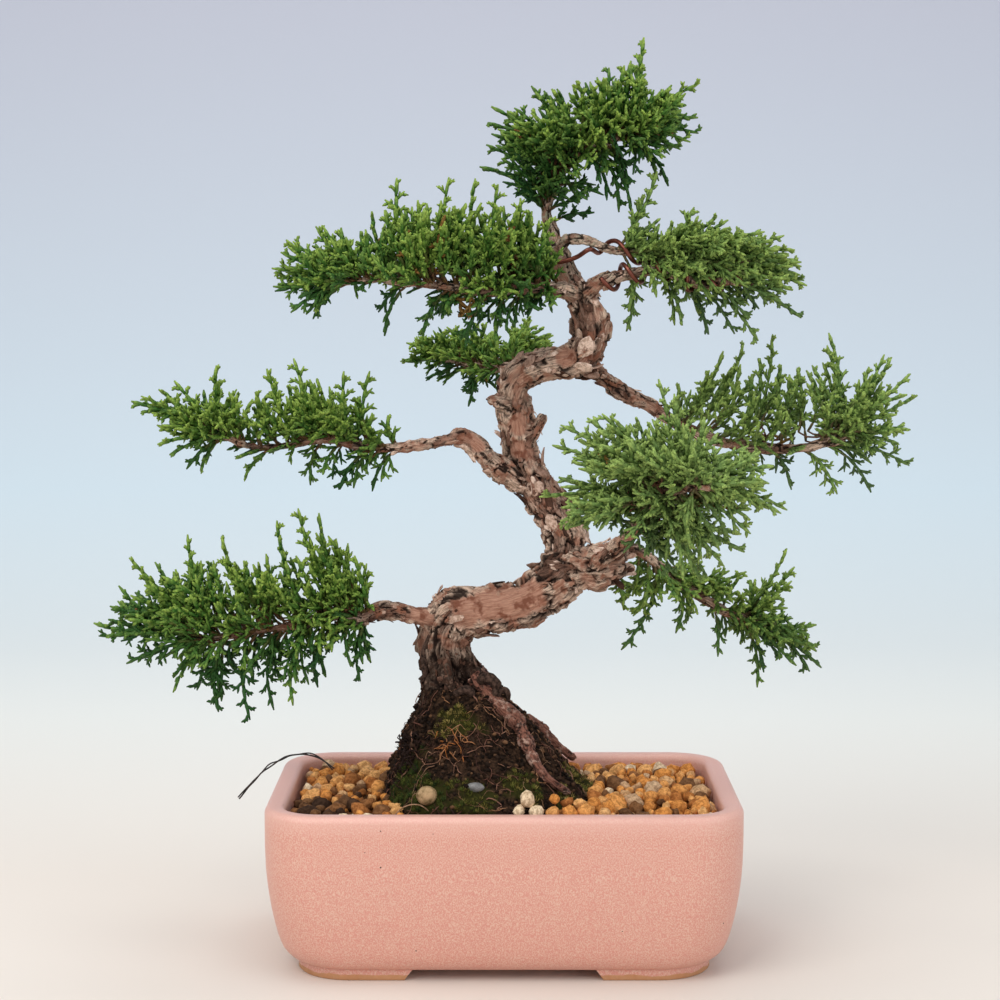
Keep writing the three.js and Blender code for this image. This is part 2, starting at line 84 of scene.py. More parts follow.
# %% Helpers for meshes
def seeded(seed):
    return np.random.default_rng(seed)


def unit(vectors):
    vectors = np.asarray(vectors, float)
    length = np.linalg.norm(vectors, axis=-1, keepdims=True)
    return vectors / np.maximum(length, 1e-12)


def mesh_object(name, points, faces, material=None):
    mesh = bpy.data.meshes.new(name)
    mesh.from_pydata([tuple(p) for p in points], [], [tuple(int(i) for i in f) for f in faces])
    mesh.validate()
    mesh.shade_smooth()
    if material:
        mesh.materials.append(material)
    piece = bpy.data.objects.new(name, mesh)
    bpy.context.scene.collection.objects.link(piece)
    return piece


def set_attribute(mesh, name, values):
    values = np.asarray(values, np.float32)
    kind, key = ("FLOAT_VECTOR", "vector") if values.ndim == 2 else ("FLOAT", "value")
    attribute = mesh.attributes.get(name) or mesh.attributes.new(name, kind, "POINT")
    attribute.data.foreach_set(key, values.ravel())


def vertex_array(mesh, key="co"):
    values = np.zeros(len(mesh.vertices) * 3, np.float32)
    if key == "co":
        mesh.vertices.foreach_get("co", values)
    else:
        mesh.vertex_normals.foreach_get("vector", values)
    return values.reshape(-1, 3).astype(float)


def move_vertices(mesh, places):
    mesh.vertices.foreach_set("co", np.asarray(places, np.float32).ravel())
    mesh.update()


def surface_tree(mesh):
    """The mesh's surface, ready to be asked for its nearest place or for where a ray meets it."""
    return BVHTree.FromPolygons([v.co for v in mesh.vertices], [p.vertices[:] for p in mesh.polygons])


def hand_over(piece, slot, *nodes):
    """Hangs the piece on the root body and hides the CAD nodes it stands for. Its slot is not used."""
    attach(piece, "root")
    if nodes:
        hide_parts(*nodes)
    triangles = sum(len(p.vertices) - 2 for p in piece.data.polygons)
    print(f"{piece.name}: {triangles} triangles")


def applied(piece):
    """Turns the piece's modifiers into its plain mesh."""
    depsgraph = bpy.context.evaluated_depsgraph_get()
    mesh = bpy.data.meshes.new_from_object(piece.evaluated_get(depsgraph))
    piece.modifiers.clear()
    piece.data = mesh
    return piece


# %% [markdown]
# Bark, soil and moss need random values that change smoothly, and random cells like the plates of bark.
# Both are worked out on arrays, so a hundred thousand points take a moment.

# %% Noise and cells on arrays
def hashed(cells, seed):
    """A repeatable random number from 0 to 1 for each whole-number cell."""
    x, y, z = (cells[:, i].astype(np.int64) for i in range(3))
    h = (x * 73856093) ^ (y * 19349663) ^ (z * 83492791) ^ (seed * 668265263)
    h = (h & 0xFFFFFFFF) * 1274126177 & 0xFFFFFFFF
    h = ((h ^ (h >> 15)) * 2246822519) & 0xFFFFFFFF
    return ((h ^ (h >> 13)) & 0xFFFF) / 65535


def smooth_noise(places, seed):
    """Smooth random values from 0 to 1 that change over about one unit."""
    cell = np.floor(places)
    part = places - cell
    part = part * part * (3 - 2 * part)
    total = np.zeros(len(places))
    for corner in np.ndindex(2, 2, 2):
        weight = np.prod(np.where(np.array(corner) == 1, part, 1 - part), axis=1)
        total += weight * hashed(cell + corner, seed)
    return total


def rough_noise(places, seed, octaves=3):
    value, weight, total = np.zeros(len(places)), 1.0, 0.0
    for octave in range(octaves):
        value += weight * smooth_noise(places * 2.0 ** octave, seed + octave)
        total += weight
        weight *= 0.5
    return value / total


def random_cells(places, seed):
    """Distance to the nearest and second nearest of scattered points, and a number for the nearest."""
    home = np.floor(places)
    first = np.full(len(places), 9.0)
    second = first.copy()
    owner = np.zeros(len(places))
    for corner in np.ndindex(3, 3, 3):
        cell = home + np.array(corner) - 1
        spot = cell + np.stack([hashed(cell, seed + i) for i in (1, 2, 3)], 1)
        distance = np.linalg.norm(places - spot, axis=1)
        nearer = distance < first
        second = np.where(nearer, first, np.minimum(second, distance))
        owner = np.where(nearer, hashed(cell, seed + 4), owner)
        first = np.where(nearer, distance, first)
    return first, second, owner


# %% [markdown]
# ## Camera, light and floor
# The tree is looked at from the front, a little from above. A pale sweep of paper stands behind it, and three
# large soft lamps leave only gentle shadows. The paper's colour is painted light: cream at the foot, faintly
# blue higher up, and greyer and darker at the top, where the light falls off.

# %% Camera, lamps and sky
CAMERA_PLACE = Vector((-1.3, -708, 215)) * MM
CAMERA_TILT = 5.5  # degrees below level
LAMP_TARGET = Vector((0, 0, 0.14))
LAMPS = {  # place and side in metres, power in watts, colour
    "key": ((-0.7, -0.9, 1.1), 0.9, 11.5, (1.0, 0.98, 0.95)),
    "fill": ((1.0, -0.9, 0.6), 1.0, 5, (0.95, 0.97, 1.0)),
    "top": ((0.0, 0.1, 1.3), 1.0, 7, (1.0, 1.0, 1.0)),
}


def make_camera():
    camera = bpy.data.objects.new("camera", bpy.data.cameras.new("camera"))
    camera.data.lens = 79.2
    camera.data.sensor_width = 36
    camera.location = CAMERA_PLACE
    camera.rotation_euler = (math.radians(90 - CAMERA_TILT), 0, 0)
    bpy.context.scene.collection.objects.link(camera)
    bpy.context.scene.camera = camera


def make_lamp(name, place, side, power, colour):
    lamp = bpy.data.objects.new(name, bpy.data.lights.new(name, "AREA"))
    lamp.data.size = side
    lamp.data.energy = power
    lamp.data.color = colour
    lamp.location = place
    lamp.rotation_euler = (LAMP_TARGET - lamp.location).to_track_quat("-Z", "Y").to_euler()
    bpy.context.scene.collection.objects.link(lamp)


def make_sky():
    world = bpy.data.worlds.new("studio")
    world.use_nodes = True
    background = world.node_tree.nodes["Background"]
    background.inputs["Color"].default_value = (0.86, 0.92, 1.0, 1)
    background.inputs["Strength"].default_value = 0.62
    bpy.context.scene.world = world
    bpy.context.scene.view_settings.view_transform = "Standard"


make_camera()
for lamp_name, settings in LAMPS.items():
    make_lamp(lamp_name, *settings)
make_sky()
print("camera at", [round(v, 3) for v in CAMERA_PLACE], "and lamps:", ", ".join(LAMPS))

# %% [markdown]
# Every finish is built from the same few nodes: noise, a step between two values, a blend of two colours
# and a bump. A helper for each keeps a finish's own lines short, so that they read like a recipe.

# %% Nodes for materials
def add_node(tree, kind, inputs=None, **settings):
    """Adds a node. An input's value is a number, a colour or another node's output socket."""
    node = tree.nodes.new(kind)
    for name, value in settings.items():
        setattr(node, name, value)
    for name, value in (inputs or {}).items():
        if isinstance(value, bpy.types.NodeSocket):
            tree.links.new(value, node.inputs[name])
        else:
            node.inputs[name].default_value = value
    return node


def math_node(tree, operation, *values):
    return add_node(tree, "ShaderNodeMath", dict(enumerate(values)), operation=operation).outputs[0]


def noise_value(tree, places, scale, detail=3.0, roughness=0.55):
    inputs = {"Vector": places, "Scale": scale, "Detail": detail, "Roughness": roughness}
    return add_node(tree, "ShaderNodeTexNoise", inputs).outputs["Fac"]


def stretched(tree, places, scale):
    return add_node(tree, "ShaderNodeMapping", {"Vector": places, "Scale": scale}).outputs["Vector"]


def step_up(tree, value, low, high):
    """0 below low, 1 above high, smooth between."""
    inputs = {"Value": value, "From Min": low, "From Max": high}
    return add_node(tree, "ShaderNodeMapRange", inputs, interpolation_type="SMOOTHSTEP").outputs["Result"]


def blend_colours(tree, amount, first, second, blend="MIX"):
    node = add_node(tree, "ShaderNodeMix", data_type="RGBA", blend_type=blend)
    for index, value in ((0, amount), (6, first), (7, second)):
        if isinstance(value, bpy.types.NodeSocket):
            tree.links.new(value, node.inputs[index])
        elif index == 0:
            node.inputs[index].default_value = value
        else:
            node.inputs[index].default_value = (*value, 1)
    return node.outputs[2]


def own_value(tree, name):
    return add_node(tree, "ShaderNodeAttribute", attribute_name=name).outputs["Fac"]


def own_vector(tree, name):
    return add_node(tree, "ShaderNodeAttribute", attribute_name=name).outputs["Vector"]


def new_material(name, **settings):
    """A material with one Principled shader. Settings that are the same all over sit on its own sockets."""
    material = bpy.data.materials.new(name)
    material.use_nodes = True
    tree = material.node_tree
    shader = tree.nodes["Principled BSDF"]
    for socket, value in settings.items():
        shader.inputs[socket.replace("_", " ")].default_value = value
    return material, tree, shader


def object_places(tree):
    return add_node(tree, "ShaderNodeTexCoord").outputs["Object"]


def raise_surface(tree, shader, height, depth, strength=1.0):
    """A bump whose height is in metres when depth is."""
    bump = add_node(tree, "ShaderNodeBump", {"Height": height, "Distance": depth, "Strength": strength})
    tree.links.new(bump.outputs["Normal"], shader.inputs["Normal"])


# %% The paper sweep
# Painted light: the paper runs from cream at the foot to a darker grey-blue at the top, as the light falls
# off.
PAPER_PAINTED_LIGHT = (  # share of the way from the front edge to the top, and colour
    (0.04, (0.745, 0.675, 0.60)), (0.19, (0.765, 0.765, 0.715)),
    (0.50, (0.675, 0.775, 0.815)), (0.97, (0.60, 0.60, 0.67)),
)


def make_paper():
    material, tree, shader = new_material("paper", Roughness=0.9)
    parts = add_node(tree, "ShaderNodeSeparateXYZ", {"Vector": object_places(tree)}).outputs
    way = math_node(tree, "ADD", parts["Y"], parts["Z"])
    ramp = add_node(tree, "ShaderNodeValToRGB", {"Fac": math_node(tree, "MULTIPLY", way, 0.5)})
    for index, (share, colour) in enumerate(PAPER_PAINTED_LIGHT):
        element = ramp.color_ramp.elements[index] if index < 2 else ramp.color_ramp.elements.new(share)
        element.position, element.color = share, (*colour, 1)
    tree.links.new(ramp.outputs["Color"], shader.inputs["Base Color"])
    width, front, wall, bend, top = 4.0, -1.6, 1.5, 0.9, 2.6
    profile = [(front, 0.0), (wall - bend, 0.0)]
    for turn in np.linspace(0, math.pi / 2, 17)[1:]:
        profile.append((wall - bend + bend * math.sin(turn), bend - bend * math.cos(turn)))
    profile.append((wall, top))
    points = [(x, y, z) for y, z in profile for x in (-width / 2, width / 2)]
    faces = [(2 * i, 2 * i + 1, 2 * i + 3, 2 * i + 2) for i in range(len(profile) - 1)]
    mesh_object("paper", points, faces, material)
    print("paper:", len(faces), "strips")


make_paper()

# %% [markdown]
# ## The pot
# The pot is cast stoneware: a rounded rectangle whose sides stand straight under the rim and draw in
# towards four corner feet. It is a loft of rounded rings, the same rule that the CAD model follows, with
# four times as many points, so that the corners are smooth. The drain holes are cut with a Boolean.

# %% Pot shape
POT = {"corner": 18, "wall": 6.5, "lip": 2.2, "floor": 5.5, "tuck": 5.9, "belly": 2, "heel": 2.9,
       "heel_turn": 16, "straight": 12}
FOOT = {"height": 3.7, "step": 0.7, "length": 37.5, "return": 23.8, "width": 10, "slant": 3,
        "sunk": 0.6, "edge": 0.5}
DRAIN = {"radius": 6, "offset": 36}

CORNER_STEPS, SIDE_STEPS = 16, 6  # steps along a rounded corner and along each straight side

half_x, half_y, pot_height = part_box("pot")[1] / MM
bend_height = pot_height - POT["straight"]
print("pot in mm:", round(2 * half_x, 1), round(2 * half_y, 1), round(pot_height, 1))


def rounded_ring(reach_x, reach_y, radius, z):
    """A rounded rectangle, anticlockwise from above, in mm."""
    ring = []
    for corner in range(4):
        middle_x = (1 if corner in (0, 3) else -1) * (reach_x - radius)
        middle_y = (1 if corner < 2 else -1) * (reach_y - radius)
        for angle in (corner + np.linspace(0, 1, CORNER_STEPS + 1)) * math.pi / 2:
            ring.append((middle_x + radius * math.cos(angle), middle_y + radius * math.sin(angle), z))
    full = []
    for a, b in zip(ring, ring[1:] + ring[:1]):
        full.append(a)
        gap = math.dist(a, b)
        if gap > radius * math.pi / CORNER_STEPS:
            full += [tuple(np.array(a) + (np.array(b) - a) * i / SIDE_STEPS) for i in range(1, SIDE_STEPS)]
    return np.array(full)


def pot_ring(inset, z):
    fall = min(max((bend_height - z) / (bend_height - FOOT["height"]), 0), 1)
    draw = inset + POT["tuck"] * fall ** POT["belly"] + POT["heel"] * fall ** POT["heel_turn"]
    return rounded_ring(half_x - draw, half_y - draw, max(POT["corner"] - inset, 4), z)


def lofted(rings):
    """Points and faces of a closed skin over rings with equal numbers of points."""
    count = len(rings[0])
    points = np.concatenate(rings)
    faces = []
    for level in range(len(rings) - 1):
        for i in range(count):
            a, b = level * count + i, level * count + (i + 1) % count
            faces.append((a, b, b + count, a + count))
    faces.append(tuple(range(count))[::-1])
    faces.append(tuple(range((len(rings) - 1) * count, len(rings) * count)))
    return points, faces


def pot_body():
    drawn = bend_height - (bend_height - FOOT["height"]) * np.linspace(1, 0, 24) ** 0.55
    heights = list(drawn) + [bend_height + 5, pot_height - POT["lip"]]
    rings = [pot_ring(0, z) for z in heights]
    lip = POT["lip"]
    for turn in np.linspace(0, math.pi, 13)[1:-1]:
        outer = turn <= math.pi / 2
        inset = lip * (1 - math.cos(turn)) if outer else POT["wall"] - lip * (1 + math.cos(turn))
        rings.append(pot_ring(inset, pot_height - lip * (1 - math.sin(turn))))
    floor_top = FOOT["height"] + POT["floor"]
    for z in np.linspace(pot_height - lip, floor_top, 12):
        rings.append(pot_ring(POT["wall"], z))
    return lofted([ring * MM for ring in rings])


def foot_bodies():
    """Four corner feet, each a strip that follows the corner, its ends leaning outwards to the ground."""
    inset = POT["tuck"] + POT["heel"] + FOOT["step"]
    reach_x, reach_y = half_x - inset, half_y - inset
    radius, width = POT["corner"] - FOOT["step"], FOOT["width"]
    outer = rounded_ring(reach_x, reach_y, radius, 0)
    inner = rounded_ring(reach_x - width, reach_y - width, radius - width, 0)
    top = np.array((0, 0, FOOT["height"] + FOOT["sunk"]))
    points, faces = [], []
    per_side = len(outer) // 4
    for corner in range(4):
        sx, sy = (1 if corner in (0, 3) else -1), (1 if corner < 2 else -1)
        start = corner * per_side
        curve = [(outer[start + i], inner[start + i]) for i in range(CORNER_STEPS + 1)]
        end_x = sx * (reach_x - FOOT["length"])
        end_y = sy * (reach_y - FOOT["return"])
        along_x = (np.array((end_x, sy * reach_y, 0)), np.array((end_x, sy * (reach_y - width), 0)))
        along_y = (np.array((sx * reach_x, end_y, 0)), np.array((sx * (reach_x - width), end_y, 0)))
        first, last = (along_y, along_x) if corner in (0, 2) else (along_x, along_y)
        strip = [first] + curve + [last]
        sections = []
        for index, (a, b) in enumerate(strip):
            lean = np.zeros(3)
            if index in (0, len(strip) - 1):
                on_x = (strip[index] is along_x)
                lean[0 if on_x else 1] = (sx if on_x else sy) * FOOT["slant"]
            a_low, b_low = a + lean, b + lean
            edge = np.array((0, 0, FOOT["edge"]))
            out = unit(a - b) * FOOT["edge"]
            sections.append([b_low, a_low - out, a_low + edge, a + top, b + top])
        base = len(points)
        for section in sections:
            points += section
        sides = len(sections[0])
        for i in range(len(sections) - 1):
            here, there = base + i * sides, base + (i + 1) * sides
            for j in range(sides):
                k = (j + 1) % sides
                faces.append((here + j, there + j, there + k, here + k))
        faces.append(tuple(base + j for j in range(sides)))
        faces.append(tuple(base + (len(sections) - 1) * sides + j for j in range(sides))[::-1])
    return np.array(points) * MM, faces


# %% [markdown]
# The glaze is a pink matt glaze that broke into fine cream and salmon drops while it ran down. Thin spots on
# the rim are paler, and the feet show bare orange clay. The drops are one shader group, so that their size
# and contrast are named inputs.

# %% Glaze
def make_drops_group():
    """Puts out a mask of fine runny drops and a slow cloudiness, both from 0 to 1."""
    group = bpy.data.node_groups.new("glaze drops", "ShaderNodeTree")
    group.interface.new_socket("Places", in_out="INPUT", socket_type="NodeSocketVector")
    size = group.interface.new_socket("Drops per metre", in_out="INPUT", socket_type="NodeSocketFloat")
    size.default_value = 2900
    group.interface.new_socket("Drops", in_out="OUTPUT", socket_type="NodeSocketFloat")
    group.interface.new_socket("Cloud", in_out="OUTPUT", socket_type="NodeSocketFloat")
    start = group.nodes.new("NodeGroupInput")
    end = group.nodes.new("NodeGroupOutput")
    runny = stretched(group, start.outputs["Places"], (1.0, 1.0, 0.7))
    fine = add_node(group, "ShaderNodeTexNoise", {"Vector": runny, "Scale": start.outputs["Drops per metre"],
                                                  "Detail": 3.0, "Roughness": 0.6}).outputs["Fac"]
    group.links.new(step_up(group, fine, 0.40, 0.66), end.inputs["Drops"])
    group.links.new(noise_value(group, start.outputs["Places"], 28, 3.0), end.inputs["Cloud"])
    return group


def make_glaze():
    material, tree, shader = new_material("pink glaze")
    places = object_places(tree)
    drops = tree.nodes.new("ShaderNodeGroup")
    drops.node_tree = make_drops_group()
    tree.links.new(places, drops.inputs["Places"])
    body = blend_colours(tree, drops.outputs["Cloud"], (0.66, 0.262, 0.205), (0.70, 0.315, 0.245))
    colour = blend_colours(tree, drops.outputs["Drops"], body, (0.77, 0.490, 0.375))
    thin = math_node(tree, "MULTIPLY", own_value(tree, "thin"), 0.6)
    colour = blend_colours(tree, thin, colour, (0.80, 0.47, 0.39))
    specks = add_node(tree, "ShaderNodeTexVoronoi", {"Vector": places, "Scale": 190.0}, feature="F1")
    chosen = add_node(tree, "ShaderNodeSeparateColor", {"Color": specks.outputs["Color"]}).outputs[0]
    dark = math_node(tree, "MULTIPLY", math_node(tree, "LESS_THAN", specks.outputs["Distance"], 0.05),
                     math_node(tree, "GREATER_THAN", chosen, 0.8))
    colour = blend_colours(tree, dark, colour, (0.09, 0.04, 0.03))
    patches = noise_value(tree, places, 160, 3.0)
    ragged = math_node(tree, "MULTIPLY_ADD", patches, 0.7, own_value(tree, "bare"))
    bare = step_up(tree, ragged, 0.80, 0.92)
    clay = blend_colours(tree, noise_value(tree, places, 500, 4.0), (0.50, 0.22, 0.09), (0.62, 0.34, 0.18))
    tree.links.new(blend_colours(tree, bare, colour, clay), shader.inputs["Base Color"])
    rough = math_node(tree, "MULTIPLY_ADD", drops.outputs["Drops"], 0.12, 0.36)
    rough = math_node(tree, "MAXIMUM", rough, math_node(tree, "MULTIPLY", bare, 0.85))
    tree.links.new(rough, shader.inputs["Roughness"])
    raise_surface(tree, shader, drops.outputs["Drops"], 0.00006, 0.5)
    return material


def make_pot():
    body_points, body_faces = pot_body()
    foot_points, foot_faces = foot_bodies()
    pot = mesh_object("glazed_pot", body_points, body_faces)
    feet = mesh_object("pot_feet", foot_points, foot_faces)
    for x in (-DRAIN["offset"], DRAIN["offset"]):
        angles = np.arange(48) * 2 * math.pi / 48
        circle = np.stack([x + DRAIN["radius"] * np.cos(angles), DRAIN["radius"] * np.sin(angles)], 1)
        points, faces = lofted([np.column_stack([circle, np.full(48, z)]) for z in (0.0, 20.0)])
        cutter = mesh_object("drain_cutter", points * MM, faces)
        cut = pot.modifiers.new("drain", "BOOLEAN")
        cut.object = cutter
        cut.solver = "EXACT"
        applied(pot)
        bpy.data.objects.remove(cutter)
    join = pot.modifiers.new("feet", "BOOLEAN")
    join.object = feet
    join.operation = "UNION"
    join.solver = "EXACT"
    applied(pot)
    bpy.data.objects.remove(feet)
    pot.data.materials.clear()
    pot.data.materials.append(make_glaze())
    pot.data.shade_smooth()
    pot.data.set_sharp_from_angle(angle=math.radians(50))
    places = vertex_array(pot.data) / MM
    rim = np.clip(1.3 - (pot_height - places[:, 2]) / 4.5, 0, 1)
    set_attribute(pot.data, "thin", rim)
    set_attribute(pot.data, "bare", np.clip(1 - places[:, 2] / FOOT["height"], 0, 1))
    hand_over(pot, "glaze", "pot")


make_pot()

# %% [markdown]
# ## The lines of the tree
# Every stem is a list of places along its middle with its radius, in mm, measured from the middle of the
# rim's plane. These are the lines that the CAD wood was grown along, so bark, wires and twigs all follow
# the same lines. A smooth curve through them gives places, directions and radii at even steps.

# %% Stems
TRUNK = [
    (-17, 0, -3, 15), (-17, 0, 8, 13), (-16, 0, 26, 10.5), (-18, 0, 38, 8.6), (-19.5, -1, 47, 8.2),
    (-16, -2, 55, 7.8), (-7, -4, 57.5, 7.6), (2, -6, 58.8, 7.6), (12, -5, 63, 7.4), (19, -2, 68.5, 7.4),
    (20.5, 1, 76.5, 6.8), (18.5, 3, 84.5, 6.2), (12, 5.5, 94.5, 5.8), (6.5, 7, 104.5, 5.5), (4, 6, 119, 5.5),
    (3, 4, 126, 5.3), (4.5, 2, 132, 5.3), (10, 0, 135.5, 5.3), (17, -2, 137, 5.3), (23.5, -4, 139, 5.4),
    (27.5, -5, 144, 5.8), (27.3, -5, 151, 6.1), (25, -4, 156.5, 5.6), (21.5, -2, 162.5, 4.5),
    (18, 0, 170.5, 3.6), (15.5, 2, 178.5, 2.6), (13.5, 2, 185, 2.1), (15.5, 1, 192.5, 1.9),
    (19, 0, 198.5, 1.7), (26, -2, 204.5, 1.4), (35, -4, 208, 1.2), (44, -5, 210, 1),
]
DEAD_STUB = [
    (14, -3, 70, 5.4), (21, -3, 71.6, 5.8), (27, -5, 71.4, 6.8), (31, -7, 72, 7.2), (34.5, -8, 72.6, 6.6),
]
SPURS = [
    [(6, 6, 109, 2), (10, 3, 115, 1.9), (12.5, 2, 119.5, 1.7)],
    [(3, 4, 125, 2.4), (-1, 0, 124.5, 2.2), (-4, -2, 125, 1.9)],
]
BRANCHES = {
    "lower_left": [
        (-15, -3, 51, 3.9), (-22, -5, 54.5, 3.8), (-28, -6, 56, 3.2), (-38, -8, 58, 2.9),
        (-47, -10, 55.5, 2.2), (-52, -12, 56.5, 1.5), (-62, -14, 54.5, 1.3), (-73, -14, 53, 1.2),
        (-91, -13, 50, 1), (-99, -12, 49, 0.8),
    ],
    "mid_left": [
        (5, 5, 99, 4.2), (-2, 2, 103.5, 3.9), (-6, 0, 107, 3.2), (-9, -1, 110.5, 3.1),
        (-13.5, -2, 113.3, 2.9), (-18, -3, 112.5, 2.3), (-30, -5, 110.5, 1.8), (-38, -6, 110, 1.6),
        (-47, -7, 111, 1.6), (-55, -8, 113, 1.4), (-79, -8, 110.5, 1.1), (-95, -8, 117, 0.8),
    ],
    "upper_left": [
        (24, -5, 158.5, 2.9), (19, -9, 160, 2.8), (13, -12, 160.7, 2.5), (5, -17, 161, 2.2),
        (-4, -22, 160, 1.9), (-18, -26, 161.5, 1.5), (-40, -28, 163.5, 1.1), (-55, -25, 161.5, 0.8),
    ],
    "crown_left": [
        (17.5, 0, 174, 1.9), (10, -6, 171.5, 1.6), (1, -10, 169.5, 1.4), (-6, -13, 171, 1.1),
        (-15, -16, 176, 0.8),
    ],
    "back_left": [
        (19, -2, 137.3, 2.4), (16.5, 8, 136, 2.3), (10, 20, 135, 2), (2, 34, 134.6, 1.7), (-6, 46, 134, 1.5),
        (-17, 54, 136, 1.2), (-26, 58, 138, 0.8),
    ],
    "upper_right": [
        (16.5, 1, 172.5, 1.9), (20.5, -4, 176.5, 1.8), (24, -6, 176.5, 1.6), (34.5, -8, 173, 1.4),
        (40, -8, 172, 1.3), (48, -7, 170.5, 1), (57, -6, 171, 0.8),
    ],
    "right_bough": [
        (23.5, -4, 156.5, 3.3), (26.5, -8, 160, 2.9), (30, -9, 162.5, 2.6), (42, -11, 166, 2.2),
        (50, -12, 166.5, 2.1), (56, -12, 164.5, 1.9), (62, -12, 162, 1.7), (69, -12, 163, 1.4),
        (78, -11, 162, 1),
    ],
    "mid_right": [
        (21.5, -3.5, 138.5, 3.3), (28, 4, 136, 3.2), (32.5, 8, 132, 2.9), (38, 12, 127.5, 2.8),
        (46, 15, 123.5, 2.6), (55, 16, 118, 2.3), (65, 15, 112.7, 2.2), (75, 13, 110, 2), (86, 10, 109, 2),
        (96, 7, 109, 1.8), (106, 5, 111.5, 1.6), (113, 4, 114.5, 1.2),
    ],
    "front_right": [
        (29, -8, 73, 3.3), (31, -16, 75.5, 3), (35.5, -26, 81, 2.5), (41, -40, 89, 2.1), (45, -52, 95.5, 2),
        (48, -62, 100, 1.8), (54, -72, 103.5, 1.4), (59, -78, 104, 1),
    ],
    "lower_right": [
        (34, -5, 74, 2.9), (40.5, 1, 77, 2.3), (46.5, 5, 74, 2), (52, 8, 69, 1.8), (59, 11, 63.5, 1.8),
        (67, 13, 58.5, 1.8), (75, 14, 53.5, 1.5), (86, 14, 52, 1),
    ],
}
ROOTS = {
    "root_front": [
        (-10, -7, 36, 2.4), (-6, -9.5, 32.5, 2.5), (-1.5, -12, 28, 2.6), (3, -13, 23.5, 2.6),
        (6, -15, 19, 2.5), (8, -19, 14, 2.3), (11, -22, 9.5, 1.9), (15, -23.5, 5.5, 1.5), (20, -23, 2, 1.1),
    ],
    "root_back": [
        (-10, 5, 37, 2.3), (-5.5, 8, 32.5, 2.2), (-2, 10, 26.5, 2.2), (5, 12, 20.5, 2.1), (11, 13, 16, 2),
        (17, 14, 10, 1.7), (23, 15, 5, 1.3),
    ],
}
STEP = 0.8  # mm between places on a stem's line


def smooth_line(points, spacing):
    """Even steps along a smooth curve through points measured from the rim's plane, each with its radius."""
    points = np.array(points, float)
    points[:, 2] += rim_height / MM
    padded = np.vstack([2 * points[0] - points[1], points, 2 * points[-1] - points[-2]])
    found = []
    for a, b, c, d in zip(padded, padded[1:], padded[2:], padded[3:]):
        t0, t1 = 0.0, max(np.linalg.norm((b - a)[:3]), 1e-6) ** 0.5
        t2 = t1 + max(np.linalg.norm((c - b)[:3]), 1e-6) ** 0.5
        t3 = t2 + max(np.linalg.norm((d - c)[:3]), 1e-6) ** 0.5
        for t in np.linspace(t1, t2, 13)[:-1]:
            first = a + (b - a) * (t - t0) / (t1 - t0)
            middle = b + (c - b) * (t - t1) / (t2 - t1)
            last = c + (d - c) * (t - t2) / (t3 - t2)
            left = first + (middle - first) * (t - t0) / (t2 - t0)
            right = middle + (last - middle) * (t - t1) / (t3 - t1)
            found.append(left + (right - left) * (t - t1) / (t2 - t1))
    found.append(points[-1])
    found = np.array(found)
    walked = np.concatenate([[0], np.cumsum(np.linalg.norm(np.diff(found[:, :3], axis=0), axis=1))])
    wanted = np.linspace(0, walked[-1], max(int(walked[-1] / spacing), 2) + 1)
    return np.stack([np.interp(wanted, walked, found[:, i]) for i in range(found.shape[1])], 1)


def frames_along(line):
    """Directions along a line, with two sideways directions that never twist suddenly."""
    ahead = unit(np.gradient(line[:, :3], axis=0))
    side = np.cross(ahead[0], (0.0, 1.0, 0.0) if abs(ahead[0][1]) < 0.9 else (1.0, 0.0, 0.0))
    sides = []
    for direction in ahead:
        side = unit(side - direction * np.dot(side, direction))
        sides.append(side)
    sides = np.array(sides)
    return ahead, sides, np.cross(ahead, sides)


def tube(line, around):
    """Points in mm and faces of a closed tube along a line of places and radii."""
    ahead, side, up = frames_along(line)
    angles = np.arange(around) * 2 * math.pi / around
    ring = np.cos(angles)[None, :, None] * side[:, None] + np.sin(angles)[None, :, None] * up[:, None]
    rings = line[:, None, :3] + ring * line[:, 3][:, None, None]
    blunt_end = line[-1, :3] + ahead[-1] * line[-1, 3] * 0.7 + ring[-1] * line[-1, 3] * 0.6
    return lofted([*rings, blunt_end])


def many_tubes(lines, around):
    points, faces, base = [], [], 0
    for line in lines:
        new_points, new_faces = tube(line, around)
        points.append(new_points)
        faces += [tuple(i + base for i in face) for face in new_faces]
        base += len(new_points)
    return np.concatenate(points), faces


trunk_lines = [smooth_line(points, STEP) for points in [TRUNK, DEAD_STUB] + SPURS]
branch_lines = {name: smooth_line(points, STEP) for name, points in BRANCHES.items()}
root_lines = {name: smooth_line(points, STEP) for name, points in ROOTS.items()}
print("length of the trunk line in mm:", round(len(trunk_lines[0]) * STEP))

# %% [markdown]
# ## Bark
# Juniper bark comes away in long plates that follow the grain. The stems are joined into one skin with a
# voxel remesh, which also rounds the forks. Each point of the skin then finds its place along the nearest
# stem, so random cells can be stretched along the grain. A cell is one plate: some stand proud, some have
# dropped off, and a crevice runs between them, painted dark as painted shade.

# %% Skin of the wood
def skin_of(name, lines, voxel):
    points, faces = many_tubes(lines, 16)
    piece = mesh_object(name, points * MM, faces)
    remesh = piece.modifiers.new("join", "REMESH")
    remesh.mode = "VOXEL"
    remesh.voxel_size = voxel * MM
    return applied(piece)


